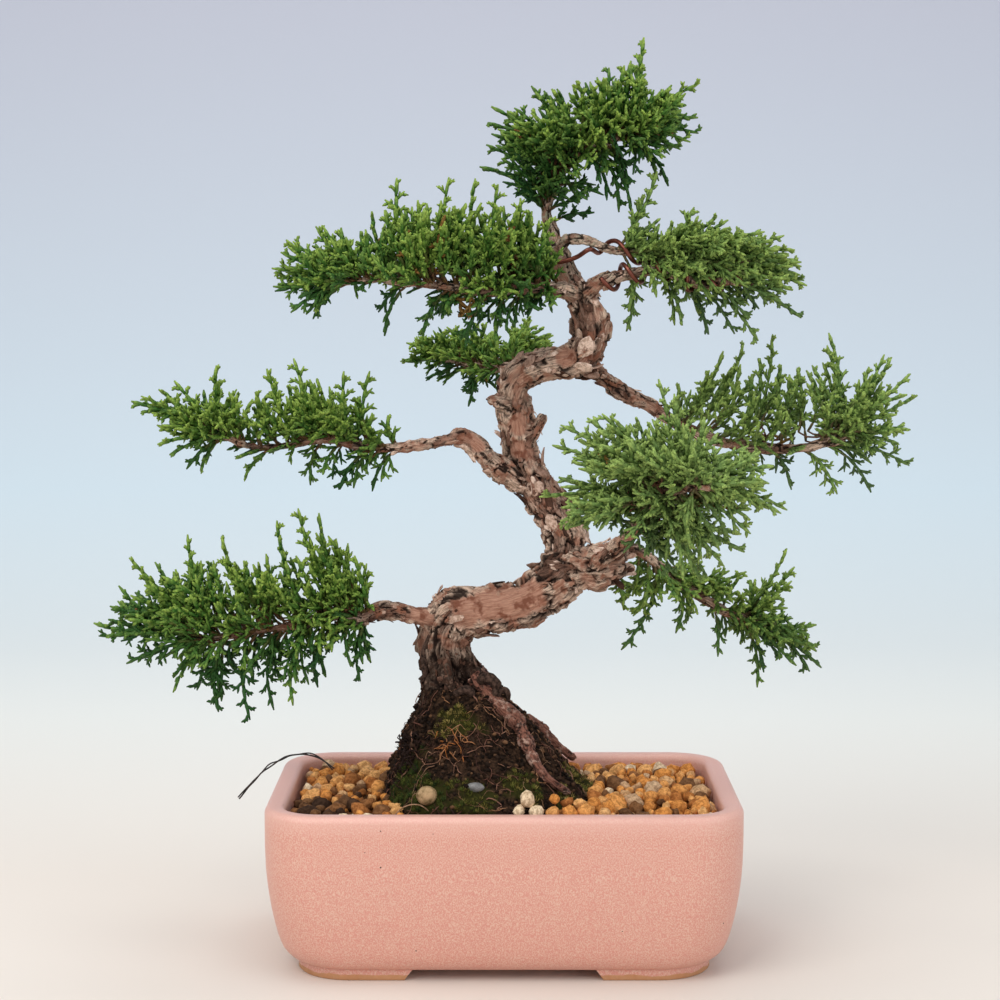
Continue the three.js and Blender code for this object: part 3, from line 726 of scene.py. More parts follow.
def grain_places(places, lines):
    """For points on the skin, in mm: place along the grain, stem radius and the grain's direction."""
    samples = np.concatenate(lines)
    frames = [np.concatenate(part) for part in zip(*(frames_along(line) for line in lines))]
    start = np.concatenate([np.arange(len(line)) * STEP + 37 * index for index, line in enumerate(lines)])
    nearest = np.zeros(len(places), int)
    for first in range(0, len(places), 4000):
        part = places[first:first + 4000]
        gap = np.linalg.norm(part[:, None] - samples[None, :, :3], axis=2) - samples[None, :, 3] * 0.7
        nearest[first:first + 4000] = gap.argmin(1)
    ahead, side, up = (frame[nearest] for frame in frames)
    away = places - samples[nearest, :3]
    radius = samples[nearest, 3]
    distance = start[nearest] + (away * ahead).sum(1)
    x, y = (away * side).sum(1), (away * up).sum(1)
    out = unit(np.stack([x, y], 1)) * np.maximum(radius, 1.5)[:, None]
    return np.column_stack([out, distance]), radius, ahead


BARE_PATCHES = [  # places in mm from the rim's plane, and how far each reaches
    (-12, -9, 58, 6), (-5, -11, 60, 7), (2, -13, 61, 7.5), (8, -12, 64, 6), (15, -4, 163, 6),
    (-26, -9, 57, 4), (4, 0, 109, 4.5), (5, 0, 117, 4), (-8, -4, 111, 3), (20, -7, 139, 4),
]


def bark_relief(places, grain, radius, plate, depth):
    """Height in mm over the skin, with masks from 0 to 1: crevice, bare, and a number for each plate."""
    long_way = grain * (1, 1, 0.36)
    wander = np.stack([rough_noise(long_way / 4, seed, 3) for seed in (11, 14, 17)], 1) - 0.5
    near, next_near, owner = random_cells((long_way + wander * 6.5) / plate, 21)
    small_near, small_next, small_owner = random_cells((long_way + wander * 3.0) / (plate * 0.42), 24)
    crevice = np.clip(1 - (next_near - near) / 0.13, 0, 1)
    crack = np.clip(1 - (small_next - small_near) / 0.12, 0, 1)
    lumps = rough_noise(grain / 7.5, 31, 3) - 0.5
    fibres = rough_noise(grain * (1.1, 1.1, 0.14), 41, 3) - 0.5
    size = np.clip(radius / 6, 0.30, 1.15)
    steps = owner * 1.1 + (owner > 0.55) * small_owner * 0.8 + (near - 0.4) * (owner > 0.6) * 0.8
    height = size * (lumps * 3.6 + depth * (steps - crevice * 1.5 - crack * 0.5) + fibres * 0.6)
    bare = np.zeros(len(places))
    for x, y, z, reach in BARE_PATCHES:
        bare = np.maximum(bare, 1 - np.linalg.norm(places - (x, y, z + rim_height / MM), axis=1) / reach)
    bare = np.clip((bare + (rough_noise(grain / 4, 51) - 0.5) * 0.8) * 5, 0, 1)
    crevice = np.maximum(crevice, crack * 0.6) * (1 - bare)
    height = height * (1 - 0.8 * bare) - 0.35 * bare
    return height, crevice, bare, np.clip(0.65 * owner + 0.35 * small_owner, 0, 1)


def dress_bark(piece, lines, plate, depth, material):
    places = vertex_array(piece.data) / MM
    outward = vertex_array(piece.data, "normal")
    grain, radius, ahead = grain_places(places, lines)
    height, crevice, bare, owner = bark_relief(places, grain, radius, plate, depth)
    places = places + outward * (height - 0.7 * np.clip(radius / 6, 0.2, 1))[:, None]
    move_vertices(piece.data, places * MM)
    low = np.clip((107 - places[:, 2] + 8 * (smooth_noise(places / 4, 61) - 0.5)) / 12, 0, 1)
    high = np.clip((places[:, 2] - 205) / 40, 0, 1)
    marks = {"grain": grain, "crevice": crevice, "bare": bare, "plate": owner, "low": low, "high": high}
    for key, values in marks.items():
        set_attribute(piece.data, key, values)
    piece.data.shade_smooth()
    piece.data.materials.clear()
    piece.data.materials.append(material)
    return places, outward, ahead, radius, bare, low


# %% [markdown]
# Old bark is grey-pink and papery, and the gaps between its plates are painted near-black as painted shade.
# Where a plate has come off lately the bark below is red-brown. Higher up a crust of pale lichen covers it,
# and close to the soil it is dark and damp. The colours come from the plate numbers that the relief left on
# the mesh, so every step in the surface is also a step in colour.

# %% Bark material
def make_bark():
    material, tree, shader = new_material("juniper bark", Roughness=0.88, Specular_IOR_Level=0.10)
    grain = own_vector(tree, "grain")
    places = object_places(tree)
    plate = own_value(tree, "plate")
    fibre = noise_value(tree, stretched(tree, grain, (2.2, 2.2, 0.30)), 1.0, 5.0, 0.7)
    blotch = noise_value(tree, places, 230, 3.0)
    old = blend_colours(tree, step_up(tree, plate, 0.15, 0.80), (0.22, 0.115, 0.080), (0.84, 0.60, 0.45))
    dusky = blend_colours(tree, 0.75, old, (0.05, 0.028, 0.020))
    old = blend_colours(tree, step_up(tree, fibre, 0.36, 0.60), dusky, old)
    fresh = blend_colours(tree, fibre, (0.22, 0.07, 0.04), (0.50, 0.22, 0.13))
    torn = math_node(tree, "MULTIPLY", step_up(tree, blotch, 0.50, 0.62), 0.75)
    colour = blend_colours(tree, torn, old, fresh)
    salmon = blend_colours(tree, step_up(tree, fibre, 0.25, 0.75), (0.35, 0.150, 0.095), (0.65, 0.37, 0.26))
    salmon = blend_colours(tree, step_up(tree, blotch, 0.52, 0.66), salmon, (0.25, 0.095, 0.058))
    colour = blend_colours(tree, own_value(tree, "bare"), colour, salmon)
    crust = noise_value(tree, places, 620, 4.0, 0.7)
    lichen = math_node(tree, "MULTIPLY", own_value(tree, "high"), step_up(tree, crust, 0.48, 0.60))
    colour = blend_colours(tree, lichen, colour, (0.45, 0.43, 0.30))
    damp = blend_colours(tree, step_up(tree, crust, 0.52, 0.72), (0.022, 0.012, 0.008), (0.26, 0.16, 0.115))
    colour = blend_colours(tree, math_node(tree, "MULTIPLY", own_value(tree, "low"), 0.9), colour, damp)
    # Painted shade: the crevices between the plates are darkened nearly to black.
    dark = math_node(tree, "MULTIPLY", step_up(tree, own_value(tree, "crevice"), 0.1, 0.7), 0.95)
    colour = blend_colours(tree, dark, colour, (0.018, 0.010, 0.008))
    tree.links.new(colour, shader.inputs["Base Color"])
    height = math_node(tree, "MULTIPLY_ADD", crust, 0.5, fibre)
    raise_surface(tree, shader, height, 0.0008)
    return material


bark = make_bark()
trunk_skin = skin_of("trunk_wood", trunk_lines, 0.5)
trunk_bark = dress_bark(trunk_skin, trunk_lines, 4.6, 1.0, bark)
hand_over(trunk_skin, "bark", "trunk")
branch_skin = skin_of("branch_wood", list(branch_lines.values()), 0.46)
branch_bark = dress_bark(branch_skin, list(branch_lines.values()), 3.2, 1.0, bark)
hand_over(branch_skin, "bark", *("branch_" + name for name in BRANCHES))

# %% [markdown]
# ## Things that are strewn
# Gravel grains, soil crumbs, moss, bark flakes and leaf shoots all repeat a few small shapes many times. One
# Geometry Nodes recipe serves them all: it takes points that carry a turn, a size and a kind, puts the
# chosen shape on each and makes one plain mesh of them.

# %% Strewing recipe
def make_strewing_group():
    group = bpy.data.node_groups.new("strew shapes", "GeometryNodeTree")
    group.interface.new_socket("Places", in_out="INPUT", socket_type="NodeSocketGeometry")
    group.interface.new_socket("Shapes", in_out="INPUT", socket_type="NodeSocketCollection")
    group.interface.new_socket("Finish", in_out="INPUT", socket_type="NodeSocketMaterial")
    group.interface.new_socket("Strewn", in_out="OUTPUT", socket_type="NodeSocketGeometry")
    start, end = group.nodes.new("NodeGroupInput"), group.nodes.new("NodeGroupOutput")

    def carried(name, data_type="FLOAT_VECTOR"):
        node = add_node(group, "GeometryNodeInputNamedAttribute", {"Name": name}, data_type=data_type)
        return node.outputs["Attribute"]

    shapes = add_node(group, "GeometryNodeCollectionInfo", {
        "Collection": start.outputs["Shapes"], "Separate Children": True, "Reset Children": True,
    })
    copies = add_node(group, "GeometryNodeInstanceOnPoints", {
        "Points": start.outputs["Places"], "Instance": shapes.outputs["Instances"], "Pick Instance": True,
        "Instance Index": carried("kind", "FLOAT"), "Rotation": carried("turn"), "Scale": carried("size"),
    })
    solid = add_node(group, "GeometryNodeRealizeInstances", {"Geometry": copies.outputs["Instances"]})
    finished = add_node(group, "GeometryNodeSetMaterial", {
        "Geometry": solid.outputs["Geometry"], "Material": start.outputs["Finish"],
    })
    group.links.new(finished.outputs["Geometry"], end.inputs["Strewn"])
    return group


strewing = make_strewing_group()
strewing_sockets = {item.name: item.identifier for item in strewing.interface.items_tree}


def strew(name, places, turns, sizes, kinds, shapes, material, **marks):
    """Copies of the shapes at the places, in mm. Marks are further numbers that each copy carries."""
    points = bpy.data.meshes.new(name + "_places")
    points.from_pydata([tuple(p) for p in np.asarray(places) * MM], [], [])
    for key, values in {"turn": turns, "size": sizes, "kind": kinds, **marks}.items():
        set_attribute(points, key, values)
    shelf = bpy.data.collections.new(name + "_shapes")
    for shape in shapes:
        shelf.objects.link(shape)
    piece = bpy.data.objects.new(name, points)
    bpy.context.scene.collection.objects.link(piece)
    recipe = piece.modifiers.new("strew", "NODES")
    recipe.node_group = strewing
    recipe[strewing_sockets["Shapes"]] = shelf
    recipe[strewing_sockets["Finish"]] = material
    applied(piece)
    bpy.data.collections.remove(shelf)
    return piece


def turns_of(x, y, z):
    """Turns that lay a shape's own axes along three directions that stand square to each other."""
    return np.stack([np.arctan2(y[:, 2], z[:, 2]), np.arcsin(np.clip(-x[:, 2], -1, 1)),
                     np.arctan2(x[:, 1], x[:, 0])], 1)


def turns_towards(directions, rolls):
    """Turns that point a shape's own Z along each direction and roll it about that direction."""
    z = unit(directions)
    helper = np.where(np.abs(z[:, 2:]) < 0.9, [[0.0, 0.0, 1.0]], [[1.0, 0.0, 0.0]])
    across = unit(np.cross(helper, z))
    upright = np.cross(z, across)
    cosine, sine = np.cos(rolls)[:, None], np.sin(rolls)[:, None]
    return turns_of(across * cosine + upright * sine, upright * cosine - across * sine, z)


def put_away(shape):
    """A shape is only a pattern for copies, so it doesn't stand in the scene."""
    bpy.context.scene.collection.objects.unlink(shape)
    return shape


ICO_EDGE = (1 + math.sqrt(5)) / 2
BALL_POINTS = unit([
    (-1, ICO_EDGE, 0), (1, ICO_EDGE, 0), (-1, -ICO_EDGE, 0), (1, -ICO_EDGE, 0), (0, -1, ICO_EDGE),
    (0, 1, ICO_EDGE), (0, -1, -ICO_EDGE), (0, 1, -ICO_EDGE), (ICO_EDGE, 0, -1), (ICO_EDGE, 0, 1),
    (-ICO_EDGE, 0, -1), (-ICO_EDGE, 0, 1),
])
BALL_FACES = [
    (0, 11, 5), (0, 5, 1), (0, 1, 7), (0, 7, 10), (0, 10, 11), (1, 5, 9), (5, 11, 4), (11, 10, 2), (10, 7, 6),
    (7, 1, 8), (3, 9, 4), (3, 4, 2), (3, 2, 6), (3, 6, 8), (3, 8, 9), (4, 9, 5), (2, 4, 11), (6, 2, 10),
    (8, 6, 7), (9, 8, 1),
]


def ball(splits):
    """A ball of triangles with radius 1: a solid of twenty faces, each split into four once or more."""
    points, faces = [tuple(p) for p in BALL_POINTS], BALL_FACES
    for _ in range(splits):
        middles, finer = {}, []
        for a, b, c in faces:
            corners = []
            for i, j in ((a, b), (b, c), (c, a)):
                key = (min(i, j), max(i, j))
                if key not in middles:
                    middles[key] = len(points)
                    points.append(tuple(unit(np.array(points[i]) + np.array(points[j]))))
                corners.append(middles[key])
            ab, bc, ca = corners
            finer += [(a, ab, ca), (b, bc, ab), (c, ca, bc), (ab, bc, ca)]
        faces = finer
    return np.array(points), faces


def lump_shapes(name, count, splits, uneven, seed):
    """Grains of radius 1 mm, each knocked out of round in its own way."""
    shapes = []
    for index in range(count):
        rng = seeded(seed + index)
        points, faces = ball(splits)
        squash = rng.uniform(0.72, 1.12, 3)
        facets = unit(rng.normal(size=(7, 3)))
        cuts = rng.uniform(0.62, 0.92, 7)
        for facet, cut in zip(facets, cuts):
            over = np.maximum(points @ facet - cut, 0)
            points = points - over[:, None] * facet * 0.9
        bumps = smooth_noise(points * 2.1 + 9 * index, seed) - 0.5
        points = points * squash * (1 + uneven * bumps)[:, None]
        shapes.append(put_away(mesh_object(f"{name}_{index:02d}", points * MM, faces)))
    return shapes


# %% [markdown]
# ## Loose bark
# Much of the bark has come loose and stands off the stem as thin chips, curled by the sun. One chip is a
# small bent sheet with a ragged outline. Hundreds of them lie along the grain, one end a little lifted.

# %% Bark chips
CHIP_ROWS, CHIP_COLUMNS, CHIP_THICKNESS = 5, 4, 0.055
CHIP_COLOURS = [(0.03, 0.016, 0.011), (0.17, 0.085, 0.058), (0.58, 0.38, 0.29), (0.92, 0.70, 0.57)]


def chip_faces():
    """Faces of a thin sheet of rows and columns: its upper side, its lower side and its edge."""
    sheet = CHIP_ROWS * CHIP_COLUMNS
    grid = np.arange(sheet).reshape(CHIP_ROWS, CHIP_COLUMNS)
    faces = []
    for i in range(CHIP_ROWS - 1):
        for j in range(CHIP_COLUMNS - 1):
            quad = (grid[i, j], grid[i + 1, j], grid[i + 1, j + 1], grid[i, j + 1])
            faces += [quad, tuple(k + sheet for k in quad[::-1])]
    edge = [*grid[0], *grid[1:, -1], *grid[-1, -2::-1], *grid[-2:0:-1, 0]]
    for a, b in zip(edge, edge[1:] + edge[:1]):
        faces.append((a, b, b + sheet, a + sheet))
    return faces


def chip_shapes(count):
    """Chips 1 mm long. Z runs along the grain and Y away from the stem."""
    shapes = []
    for index in range(count):
        rng = seeded(700 + index)
        curl, cup, twist = rng.uniform(-0.05, 0.40), rng.uniform(-0.7, 0.7), rng.uniform(-0.4, 0.4)
        upper = []
        for share in np.linspace(0, 1, CHIP_ROWS):
            width = 0.31 * (1 - 0.55 * abs(2 * share - 1) ** 2) * rng.uniform(0.75, 1.2)
            for x in np.linspace(-width, width, CHIP_COLUMNS):
                z = share - 0.2 + rng.normal(0, 0.05)
                upper.append((x, curl * z * abs(z) + cup * x * x + twist * x * z + rng.normal(0, 0.012), z))
        upper = np.array(upper)
        points = np.concatenate([upper, upper - (0, CHIP_THICKNESS, 0)])
        shapes.append(put_away(mesh_object(f"chip_{index:02d}", points * MM, chip_faces())))
    return shapes


def make_chips(name, dressed, count, seed, material, chips):
    rng = seeded(seed)
    places, outward, ahead, radius, bare, low = dressed
    weight = (1 - 0.93 * bare) * (0.6 + low + 0.8 * (smooth_noise(places / 9, seed) > 0.5))
    chosen = rng.choice(len(places), count, p=weight / weight.sum())
    along = unit(ahead[chosen] * rng.choice([-1, 1], (count, 1)) + rng.normal(0, 0.22, (count, 3)))
    away = unit(outward[chosen] - along * (outward[chosen] * along).sum(1, keepdims=True))
    tilt = np.abs(rng.normal(0.0, 0.13, count))[:, None]
    z = along * np.cos(tilt) + away * np.sin(tilt)
    y = away * np.cos(tilt) - along * np.sin(tilt)
    length = np.clip(rng.gamma(3.0, 1.15, count) + 1.0, 1.2, 7)
    length = length * np.clip(radius[chosen] / 5.5, 0.34, 1.0) * (1 - 0.45 * low[chosen])
    width, curl = length * rng.uniform(0.6, 1.25, count), length * rng.uniform(0.7, 1.3, count)
    sizes = np.column_stack([width, curl, length])
    tint = np.clip(rng.beta(1.5, 1.2, count) * (1 - 0.55 * low[chosen]), 0, 1)
    piece = strew(name, places[chosen] - outward[chosen] * 0.10, turns_of(np.cross(y, z), y, z), sizes,
                  rng.integers(0, len(chips), count), chips, material, tint=tint)
    hand_over(piece, "bark")


def tinted(name, colours, roughness, scale, depth):
    """A matt finish that runs through colours as each copy's own number goes from 0 to 1."""
    material, tree, shader = new_material(name, Roughness=roughness, Specular_IOR_Level=0.12)
    ramp = tree.nodes.new("ShaderNodeValToRGB")
    ramp.color_ramp.elements.remove(ramp.color_ramp.elements[1])
    for index, colour in enumerate(colours):
        place = index / (len(colours) - 1)
        element = ramp.color_ramp.elements[0] if index == 0 else ramp.color_ramp.elements.new(place)
        element.position, element.color = place, (*colour, 1)
    tree.links.new(own_value(tree, "tint"), ramp.inputs["Fac"])
    mottle = noise_value(tree, object_places(tree), scale, 4.0, 0.65)
    shade = blend_colours(tree, 1.0, ramp.outputs["Color"], (0.55, 0.50, 0.46), "MULTIPLY")
    colour = blend_colours(tree, step_up(tree, mottle, 0.38, 0.62), shade, ramp.outputs["Color"])
    tree.links.new(colour, shader.inputs["Base Color"])
    raise_surface(tree, shader, mottle, depth, 0.7)
    return material


chip_finish = tinted("loose bark", CHIP_COLOURS, 0.85, 800, 0.0003)
chip_patterns = chip_shapes(10)
make_chips("trunk_chips", trunk_bark, 800, 711, chip_finish, chip_patterns)
make_chips("branch_chips", branch_bark, 520, 712, chip_finish, chip_patterns)

# %% [markdown]
# ## Soil, drain nets and clips
# The soil below the gravel, the two plastic nets over the drain holes and their wire clips are simple
# shapes, so they keep the CAD shape, merged into one clean surface, and only get their finish.

# %% Soil, nets and clips
def cleaned_copy(name, node, material):
    """The CAD piece as a smooth-shaded mesh of its own, its loose triangles merged."""
    source = bpy.data.objects[node].data
    places = vertex_array(source)
    keys, owner = np.unique(np.round(places / 1e-6).astype(np.int64), axis=0, return_inverse=True)
    owner = owner.reshape(-1)
    faces = [tuple(owner[i] for i in polygon.vertices) for polygon in source.polygons]
    piece = mesh_object(name, keys * 1e-6, [face for face in faces if len(set(face)) == 3], material)
    piece.data.set_sharp_from_angle(angle=math.radians(35))
    return piece


def speckled(name, dark, light, scale, roughness, depth, **settings):
    """A matt finish whose colour wanders between two, with fine relief."""
    material, tree, shader = new_material(name, Roughness=roughness, **settings)
    mottle = noise_value(tree, object_places(tree), scale, 4.0, 0.65)
    colour = blend_colours(tree, step_up(tree, mottle, 0.32, 0.68), dark, light)
    tree.links.new(colour, shader.inputs["Base Color"])
    raise_surface(tree, shader, mottle, depth, 0.8)
    return material


soil_finish = speckled("potting soil", (0.012, 0.008, 0.006), (0.05, 0.032, 0.022), 700, 0.95, 0.0006,
                       Specular_IOR_Level=0.1)
net_finish = speckled("black net", (0.012, 0.012, 0.013), (0.02, 0.02, 0.021), 900, 0.55, 0.00005)
clip_finish = speckled("clip wire", (0.48, 0.48, 0.49), (0.62, 0.62, 0.63), 1200, 0.35, 0.00002, Metallic=1.0)
hand_over(cleaned_copy("potting_soil", "soil", soil_finish), "soil", "soil")
for side in ("left", "right"):
    net, clip = "drain_mesh_" + side, "mesh_clip_" + side
    hand_over(cleaned_copy("drain_net_" + side, net, net_finish), "mesh_plastic", net)
    hand_over(cleaned_copy("net_clip_" + side, clip, clip_finish), "clip_wire", clip)

# %% [markdown]
# ## The mound
# The tree sits high on the soil it grew in before. The mound is a loft of seven uneven rings, roughened
# into crumbs. Moss covers parts of it, and fine hair roots creep over the bare soil.

# %% Mound surface
MOUND_MIDDLE = (-14, -2)
MOUND_RINGS = np.array([  # height over the rim, then reach to the left, right, front and back, in mm
    (-9.2, 28, 47, 45, 34), (-1, 24.5, 41, 42, 30), (7, 22.5, 34, 33, 24), (13, 19.5, 29, 27, 21),
    (20, 17, 22.5, 21, 18), (26, 14, 17.5, 16, 15), (32, 12, 13, 12, 12),
])
MOSS_PATCHES = [  # middle in mm from the rim's plane, reach, olive share
    (-33, -24, 5, 11, 0.1), (-22, -34, 2, 9, 0.25), (-14, -17, 22, 8, 0.9), (6, -32, 6, 9, 0.6),
    (20, -28, 3, 9, 0.8), (28, -6, 4, 11, 0.9), (-28, 10, 8, 12, 0.3), (0, 24, 8, 13, 0.5),
    (-8, -38, 2, 8, 0.5),
]
MOUND_AROUND, MOUND_LEVELS = 220, 72  # points round one ring of the mound's mesh, and rings
inner_x = half_x - POT["wall"] - 0.5
inner_y = half_y - POT["wall"] - 0.5


def kept_inside(points):
    """Pulls places in mm back to just inside the pot's walls."""
    return np.clip(points, (-inner_x, -inner_y, -np.inf), (inner_x, inner_y, np.inf))


def mound_skin():
    angles = np.arange(MOUND_AROUND) * 2 * math.pi / MOUND_AROUND
    rings = []
    heights = MOUND_RINGS[:, 0]
    for height in np.linspace(heights[0], heights[-1], MOUND_LEVELS):
        left, right, front, back = (np.interp(height, heights, reaches) for reaches in MOUND_RINGS[:, 1:].T)
        x = MOUND_MIDDLE[0] + np.where(np.cos(angles) > 0, right, left) * np.cos(angles)
        y = MOUND_MIDDLE[1] + np.where(np.sin(angles) > 0, back, front) * np.sin(angles)
        rings.append(np.stack([x, y, np.full(MOUND_AROUND, height + rim_height / MM)], 1))
    points, faces = lofted(rings)
    return kept_inside(points), faces


def moss_cover(places):
    """How mossy each place is, from 0 to 1, and how olive its moss is."""
    cover, olive = np.full(len(places), -1.0), np.zeros(len(places))
    for x, y, z, reach, hue in MOSS_PATCHES:
        here = 1 - np.linalg.norm(places - (x, y, z + rim_height / MM), axis=1) / reach
        olive = np.where(here > cover, hue, olive)
        cover = np.maximum(cover, here)
    ragged = rough_noise(places / 5, 71) - 0.5
    return np.clip((cover + ragged * 1.3) * 3, 0, 1), olive


def make_mound():
    points, faces = mound_skin()
    piece = mesh_object("mound_soil", points * MM, faces)
    outward = vertex_array(piece.data, "normal")
    near, _, _ = random_cells(points / 2.1, 81)
    rise = (rough_noise(points / 8, 82) - 0.5) * 4.5 + (0.5 - near) * 1.0
    points = kept_inside(points + outward * rise[:, None])
    move_vertices(piece.data, points * MM)
    cover, _ = moss_cover(points)
    set_attribute(piece.data, "mossy", cover)
    material, tree, shader = new_material("old root soil", Roughness=0.95, Specular_IOR_Level=0.05)
    mottle = noise_value(tree, object_places(tree), 650, 4.0, 0.7)
    crumbly = step_up(tree, mottle, 0.35, 0.72)
    colour = blend_colours(tree, crumbly, (0.006, 0.0035, 0.0025), (0.060, 0.032, 0.019))
    green = blend_colours(tree, mottle, (0.010, 0.011, 0.003), (0.045, 0.042, 0.010))
    colour = blend_colours(tree, own_value(tree, "mossy"), colour, green)
    tree.links.new(colour, shader.inputs["Base Color"])
    raise_surface(tree, shader, mottle, 0.0006, 0.8)
    piece.data.materials.clear()
    piece.data.materials.append(material)
    hand_over(piece, "moss", "moss_mound")
    return piece


def scattered_on(piece, count, rng):
    """Random places in mm on a mesh, even over its area, with the surface's outward directions."""
    mesh = piece.data
    mesh.calc_loop_triangles()
    corners = np.zeros(len(mesh.loop_triangles) * 3, np.int32)
    mesh.loop_triangles.foreach_get("vertices", corners)
    corners = vertex_array(mesh)[corners.reshape(-1, 3)] / MM
    across = np.cross(corners[:, 1] - corners[:, 0], corners[:, 2] - corners[:, 0])
    area = np.linalg.norm(across, axis=1)
    chosen = rng.choice(len(area), count, p=area / area.sum())
    u, v = rng.random(count), rng.random(count)
    flip = u + v > 1
    u[flip], v[flip] = 1 - u[flip], 1 - v[flip]
    a, b, c = corners[chosen, 0], corners[chosen, 1], corners[chosen, 2]
    return a + (b - a) * u[:, None] + (c - a) * v[:, None], unit(across[chosen])


mound = make_mound()

# %% [markdown]
# Moss grows as tiny cushions of pointed leaves. One tuft is a bunch of seven slim spikes. The crumbs are
# loose bits of soil and baked clay on the bare places.

# %% Moss tufts and crumbs
MOSS_COLOURS = [(0.022, 0.044, 0.010), (0.080, 0.105, 0.018), (0.17, 0.145, 0.030), (0.40, 0.31, 0.10)]
CRUMB_COLOURS = [(0.010, 0.006, 0.004), (0.03, 0.017, 0.011), (0.07, 0.038, 0.022), (0.20, 0.10, 0.05)]


def moss_shapes(count):
    shapes = []
    for index in range(count):
        rng = seeded(300 + index)
        points, faces = [], []
        for spike in range(7):
            turn = spike * 2.4 + rng.uniform(-0.3, 0.3)
            lean = 0.15 if spike == 0 else rng.uniform(0.45, 0.95)
            tip = np.array((math.cos(turn) * lean, math.sin(turn) * lean, rng.uniform(0.75, 1.15)))
            foot = np.array((math.cos(turn), math.sin(turn), 0)) * lean * 0.35
            base = len(points)
            for corner in range(3):
                angle = turn + corner * 2 * math.pi / 3
                points.append(foot + 0.2 * np.array((math.cos(angle), math.sin(angle), -0.5)))
            points.append(tip)
            for corners in ((0, 2, 1), (0, 1, 3), (1, 2, 3), (2, 0, 3)):
                faces.append([base + corner for corner in corners])
        shapes.append(put_away(mesh_object(f"moss_tuft_{index}", np.array(points) * MM, faces)))
    return shapes


def make_moss():
    rng = seeded(301)
    places, outward = scattered_on(mound, 9000, rng)
    cover, olive = moss_cover(places)
    keep = (cover > rng.uniform(0.20, 1.5, len(places))) & (outward[:, 2] > -0.2)
    places, outward, olive = places[keep], outward[keep], olive[keep]
    count = len(places)
    moss = tinted("moss", MOSS_COLOURS, 0.8, 900, 0.0003)
    directions = outward + (0, 0, 0.5) + rng.normal(0, 0.25, (count, 3))
    sizes = rng.uniform(0.8, 1.7, count)[:, None] * (0.8, 0.8, 1.0)
    tint = np.clip(olive * 0.7 + rng.normal(0.12, 0.20, count), 0, 1)
    turns = turns_towards(directions, rng.uniform(0, 6.28, count))
    kinds = rng.integers(0, 4, count)
    piece = strew("mound_moss", places - outward * 0.15, turns, sizes, kinds, moss_shapes(4), moss, tint=tint)
    hand_over(piece, "moss")


def make_crumbs():
    rng = seeded(302)
    places, outward = scattered_on(mound, 5200, rng)
    cover, _ = moss_cover(places)
    keep = cover < rng.uniform(0.1, 0.9, len(places))
    places, outward = places[keep], outward[keep]
    count = len(places)
    crumbs = tinted("soil crumbs", CRUMB_COLOURS, 0.92, 800, 0.0004)
    size = rng.uniform(0.35, 0.95, count) ** 1.3
    tint = rng.random(count) ** 2
    piece = strew("mound_crumbs", places + outward * size[:, None] * 0.3, rng.uniform(0, 6.28, (count, 3)),
                  size[:, None] * np.ones(3), rng.integers(0, 5, count), lump_shapes("crumb", 5, 0, 0.5, 320),
                  crumbs, tint=tint)
    hand_over(piece, "soil")


make_moss()
make_crumbs()

# %% [markdown]
# Hair roots are thin tubes. Each starts somewhere on the mound and creeps over it in a wandering line that is
# pulled back to the surface at every step.

# %% Lines that creep over the mound
mound_tree = surface_tree(mound.data)
CREEP = 1.1  # mm that a hair root moves on in one step


def creeping_line(rng, start, heading, length, radius, lift):
    place, line = np.array(start, float), []
    for step in range(int(length / CREEP)):
        heading = unit(heading + rng.normal(0, 0.38, 3) + (0, 0, -0.06))
        spot, normal, _, _ = mound_tree.find_nearest(Vector((place + heading * CREEP) * MM))
        new_place = np.array(spot) / MM + np.array(normal) * lift * (1 + math.sin(step * 0.9))
        heading = unit(new_place - place)
        place = new_place
        line.append((*place, radius * (1 - 0.5 * step * CREEP / length)))
    return np.array(line)


def tinted_tubes(name, lines, tints, around, material):
    points, faces = many_tubes(lines, around)
    piece = mesh_object(name, points * MM, faces, material)
    shares = np.concatenate([np.full((len(line) + 1) * around, tint) for line, tint in zip(lines, tints)])
    set_attribute(piece.data, "tint", shares)
    return piece


# %% Dead roots
DEAD_ROOTS = [  # dark stubs beside the stem and a strip of bark that hangs from it, with radii in mm
    [(-9, -8, 33, 1.2), (-7, -10, 36, 1.7), (-4, -12, 36.5, 1.8), (-2.5, -12, 34, 1.6), (-3, -12, 31, 1.0)],
    [(-3, -11, 30, 0.9), (0, -12, 33, 0.9), (1.4, -12.5, 32, 0.8), (1.4, -12.5, 30, 0.6)],
    [(-23.5, -6, 50, 0.7), (-25.5, -7, 45, 0.9), (-25.5, -7, 39, 1.1), (-26, -7, 35, 0.6)],
    [(-9, -12, 30, 1.1), (-12, -14, 33, 1.5), (-15, -13, 32, 1.3), (-16, -12, 29, 0.8)],
]


def make_dead_roots():
    lines = []
    for course in DEAD_ROOTS:
        line = smooth_line(course, 0.6)
        sway = np.stack([smooth_noise(line[:, :3] / 1.6, 95 + axis) for axis in range(3)], 1) - 0.5
        line[:, :3] += sway * 0.9
        line[:, 3] *= 0.75 + 0.5 * smooth_noise(line[:, :3] / 0.9, 98)
        lines.append(line)
    finish = speckled("dead root", (0.012, 0.007, 0.005), (0.10, 0.058, 0.042), 900, 0.85, 0.0006,
                      Specular_IOR_Level=0.15)
    points, faces = many_tubes(lines, 10)
    hand_over(mesh_object("dead_roots", points * MM, faces, finish), "root")


